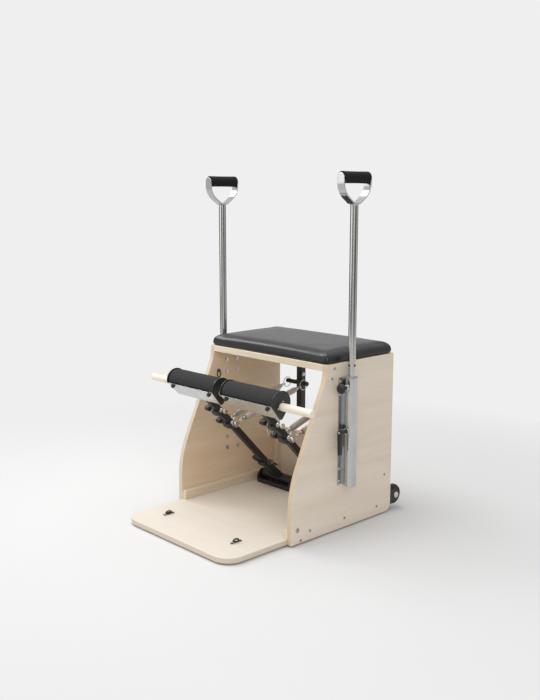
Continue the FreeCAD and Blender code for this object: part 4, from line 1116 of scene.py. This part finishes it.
pinCollar = {
    "aside": 0.0111,
    "profile": [
        (0.0050, 0), (0.0088, 0), (0.0088, 0.0052), (0.0074, 0.0060),
        (0.0074, 0.0085), (0.0050, 0.0085), (0.0050, 0),
    ],
}


def addPinCollars(side, sign):  # bright collars on the upper pins, to the right of the arm
    x = laneOf(side) + pinCollar["aside"]
    seats = [seatAt(x, pin) for pin in pinsOf(side)[1:]]
    collars = [latheAt(seat, acrossX, pinCollar["profile"], 0.0006, 2, 32) for seat in seats]
    newPiece("pin_collars_" + side, combined(collars), chrome, "pedal_arm_" + side, sharp=40)


pinSaddle = {"ahead": 0.0108, "halfWidth": 0.0212, "halfHeight": 0.0130, "rise": 0.0115}


def addPinSaddles(side, sign):  # moulded saddles across the front of the arm, one at each pin
    pins = pinsOf(side)
    along = ((pins[2][0] + pins[2][1]) - (pins[1][0] + pins[1][1])).normalized()
    ahead = acrossX.cross(along).normalized()
    dome = lathe(softened(handKnob["dome"], handKnob["domeRound"], 5), 44)
    axes = acrossX * pinSaddle["halfWidth"], along * pinSaddle["halfHeight"], ahead * pinSaddle["rise"]
    seats = [seatAt(laneOf(side), pin) + ahead * pinSaddle["ahead"] for pin in pins]
    saddles = combined([stretched(dome, seat, *axes) for seat in seats])
    newPiece("pin_saddles_" + side, saddles, blackPlastic, "pedal_arm_" + side, sharp=50)


pegKeeper = {
    "aside": 0.0191,
    "hang": 0.016,
    "halfWidth": 0.0150,
    "halfHeight": 0.0258,
    "twist": 0.0012,
    "wire": 0.0010,
    "steps": 48,
}


def addPegKeeper(side, sign):  # wire keeper that hangs from the upper peg
    peg = seatAt(laneOf(side) - pegKeeper["aside"], pinsOf(side)[2])
    tall, wide = upZ * pegKeeper["halfHeight"], acrossY * pegKeeper["halfWidth"]
    keeper = loopOf(peg - upZ * pegKeeper["hang"], tall, wide, pegKeeper["steps"])
    for k, point in enumerate(keeper):
        point.x += pegKeeper["twist"] * math.sin(math.tau * k / pegKeeper["steps"] * 2)
    wire = tube(keeper, pegKeeper["wire"], 8, True)
    newPiece("peg_keeper_" + side, wire, zincSteel, "pedal_arm_" + side)


handleParts = [addWeld, addIndexCollar, addLeverScrew, addPoleHoleShade, addPanelRing]
pedalParts = [addBarScrews, addPostBolt, addPinCollars, addPinSaddles, addPegKeeper]
for side, sign in sideSigns.items():
    for addPart in handleParts + pedalParts:
        addPart(side, sign)
print("small parts added")


def directRays(tree):     # rays that show the backdrop: seen, mirrored or through glass
    rays = shaderNode(tree, "LightPath", {})
    found = rays["Is Camera Ray"]
    for kind in ("Is Glossy Ray", "Is Transmission Ray"):
        found = shaderNode(tree, "Math", {0: found, 1: rays[kind]}, operation="MAXIMUM")[0]
    return found


studio = {
    "floor": 0.76,
    "backdrop": 0.863,
    "fadeFrom": 0.75,
    "fadeTo": 1.9,
    "ambient": 0.50,
    "size": 14.0,
    "under": 0.0003,
}


def studioFinish():
    # pale floor that keeps the shadow; far from the chair it is plain backdrop
    finish, shader, place = startFinish("studioFloor", 0.9)
    tree = finish.node_tree
    shader.inputs["Specular IOR Level"].default_value = 0.0
    low, high = grey(studio["floor"] - 0.004), grey(studio["floor"] + 0.004)
    coat(shader, shades(cloud(place, 1.5, 2), (0.3, low), (0.7, high)))
    glow = shaderNode(tree, "Emission", {"Color": (*grey(studio["backdrop"]), 1)})[0]
    far = shaderNode(tree, "VectorMath", {0: place["Object"]}, operation="LENGTH")["Value"]
    fade = spread(far, 0.0, 1.0, studio["fadeFrom"], studio["fadeTo"])
    shown = shaderNode(tree, "Math", {0: directRays(tree), 1: fade}, operation="MULTIPLY")[0]
    surface = shaderNode(tree, "MixShader", {0: shown, 1: shader.outputs[0], 2: glow})[0]
    tree.links.new(surface, tree.nodes["Material Output"].inputs["Surface"])
    return finish


def stagePiece(name, points, faces, finish):
    mesh = bpy.data.meshes.new(name)
    mesh.from_pydata(points, [], faces)
    mesh.materials.append(finish)
    piece = bpy.data.objects.new(name, mesh)
    scene.collection.objects.link(piece)
    return piece


reach = studio["size"] / 2
corners = [(-reach, -reach, 0), (reach, -reach, 0), (reach, reach, 0), (-reach, reach, 0)]
floor = stagePiece("studioFloor", corners, [(0, 1, 2, 3)], studioFinish())
floor.location.z = -studio["under"]

world = bpy.data.worlds.new("studio")
world.use_nodes = True
scene.world = world
sky = world.node_tree
backdrop = sky.nodes["Background"]
backdrop.inputs["Color"].default_value = (*grey(studio["backdrop"]), 1)
ambient = shaderNode(sky, "Background", {"Color": (1, 1, 1, 1), "Strength": studio["ambient"]})[0]
surface = shaderNode(sky, "MixShader", {0: directRays(sky), 1: ambient, 2: backdrop.outputs[0]})[0]
sky.links.new(surface, sky.nodes["World Output"].inputs["Surface"])

lamps = [     # name, place, aim, width in metres and watts
    ("overhead", (-0.4, -0.35, 3.0), (0, -0.1, 0.2), 2.4, 47.0),
    ("keySide", (2.6, -1.6, 2.0), (0, 0, 0.5), 1.8, 22.0),
    ("fillFront", (-1.2, -3.0, 1.4), (0, 0, 0.4), 2.0, 16.0),
    ("edgeLeft", (-2.4, -0.6, 2.5), (0, 0.0, 0.6), 1.1, 24.0),
]
for name, spot, target, size, power in lamps:
    data = bpy.data.lights.new(name, "AREA")
    data.shape = "SQUARE"
    data.size = size
    data.energy = power
    lamp = bpy.data.objects.new(name, data)
    lamp.location = spot
    lamp.rotation_euler = (Vector(target) - Vector(spot)).to_track_quat("-Z", "Y").to_euler()
    lamp.visible_camera = False
    scene.collection.objects.link(lamp)

# walls with dim and bright panels, which only polished surfaces pick up
surround = {"radius": 4.2, "height": 2.3, "dim": 0.14, "bright": 0.74, "panels": 4, "steps": 64}
wallFinish = bpy.data.materials.new("studioWalls")
wallFinish.use_nodes = True
wallTree = wallFinish.node_tree
wallTree.nodes.remove(wallTree.nodes["Principled BSDF"])
halfPanel = 0.5 / surround["panels"]
wallPlace = shaderNode(wallTree, "TexCoord", {})["Object"]
bearing = shaderNode(wallTree, "TexGradient", {"Vector": wallPlace}, gradient_type="RADIAL")["Fac"]
repeat = shaderNode(wallTree, "Math", {0: bearing, 1: halfPanel}, operation="PINGPONG")[0]
panel = spread(repeat, 0.0, 1.0, 0.0, halfPanel)
wallTone = shades(panel, (0.42, grey(surround["dim"])), (0.78, grey(surround["bright"])))
wallGlow = shaderNode(wallTree, "Emission", {"Color": wallTone})[0]
wallTree.links.new(wallGlow, wallTree.nodes["Material Output"].inputs["Surface"])
ring, quads, steps = [], [], surround["steps"]
for k in range(steps):
    turn = math.tau * k / steps
    for height in (0.0, surround["height"]):
        ring.append((surround["radius"] * math.cos(turn), surround["radius"] * math.sin(turn), height))
    quads.append([2 * k, 2 * k + 1, (2 * k + 3) % (2 * steps), (2 * k + 2) % (2 * steps)])
walls = stagePiece("studioWalls", ring, quads, wallFinish)
walls.visible_camera = walls.visible_diffuse = walls.visible_shadow = walls.visible_transmission = False

view = {
    "azimuth": 48.16,
    "elevation": 9.92,
    "distance": 3.1782,
    "target": (-0.234, 0.084, 0.5208),
    "roll": -0.39,
    "lens": 45.06,
    "shift": (0.0473, 0.006),
}
az, el, roll = (math.radians(view[k]) for k in ("azimuth", "elevation", "roll"))
back = Vector((math.sin(az) * math.cos(el), -math.cos(az) * math.cos(el), math.sin(el)))
right = (-back).cross(upZ).normalized()
up = right.cross(-back)
right, up = right * math.cos(roll) + up * math.sin(roll), up * math.cos(roll) - right * math.sin(roll)
camData = bpy.data.cameras.new("photoView")
camData.lens = view["lens"]
camData.sensor_width = 36
camData.shift_x, camData.shift_y = view["shift"]
camera = bpy.data.objects.new("photoView", camData)
eye = Vector(view["target"]) + back * view["distance"]
camera.matrix_world = Matrix.Translation(eye) @ Matrix((right, up, back)).transposed().to_4x4()
scene.collection.objects.link(camera)
scene.camera = camera
scene.view_settings.view_transform = "Standard"
print("studio and camera set")
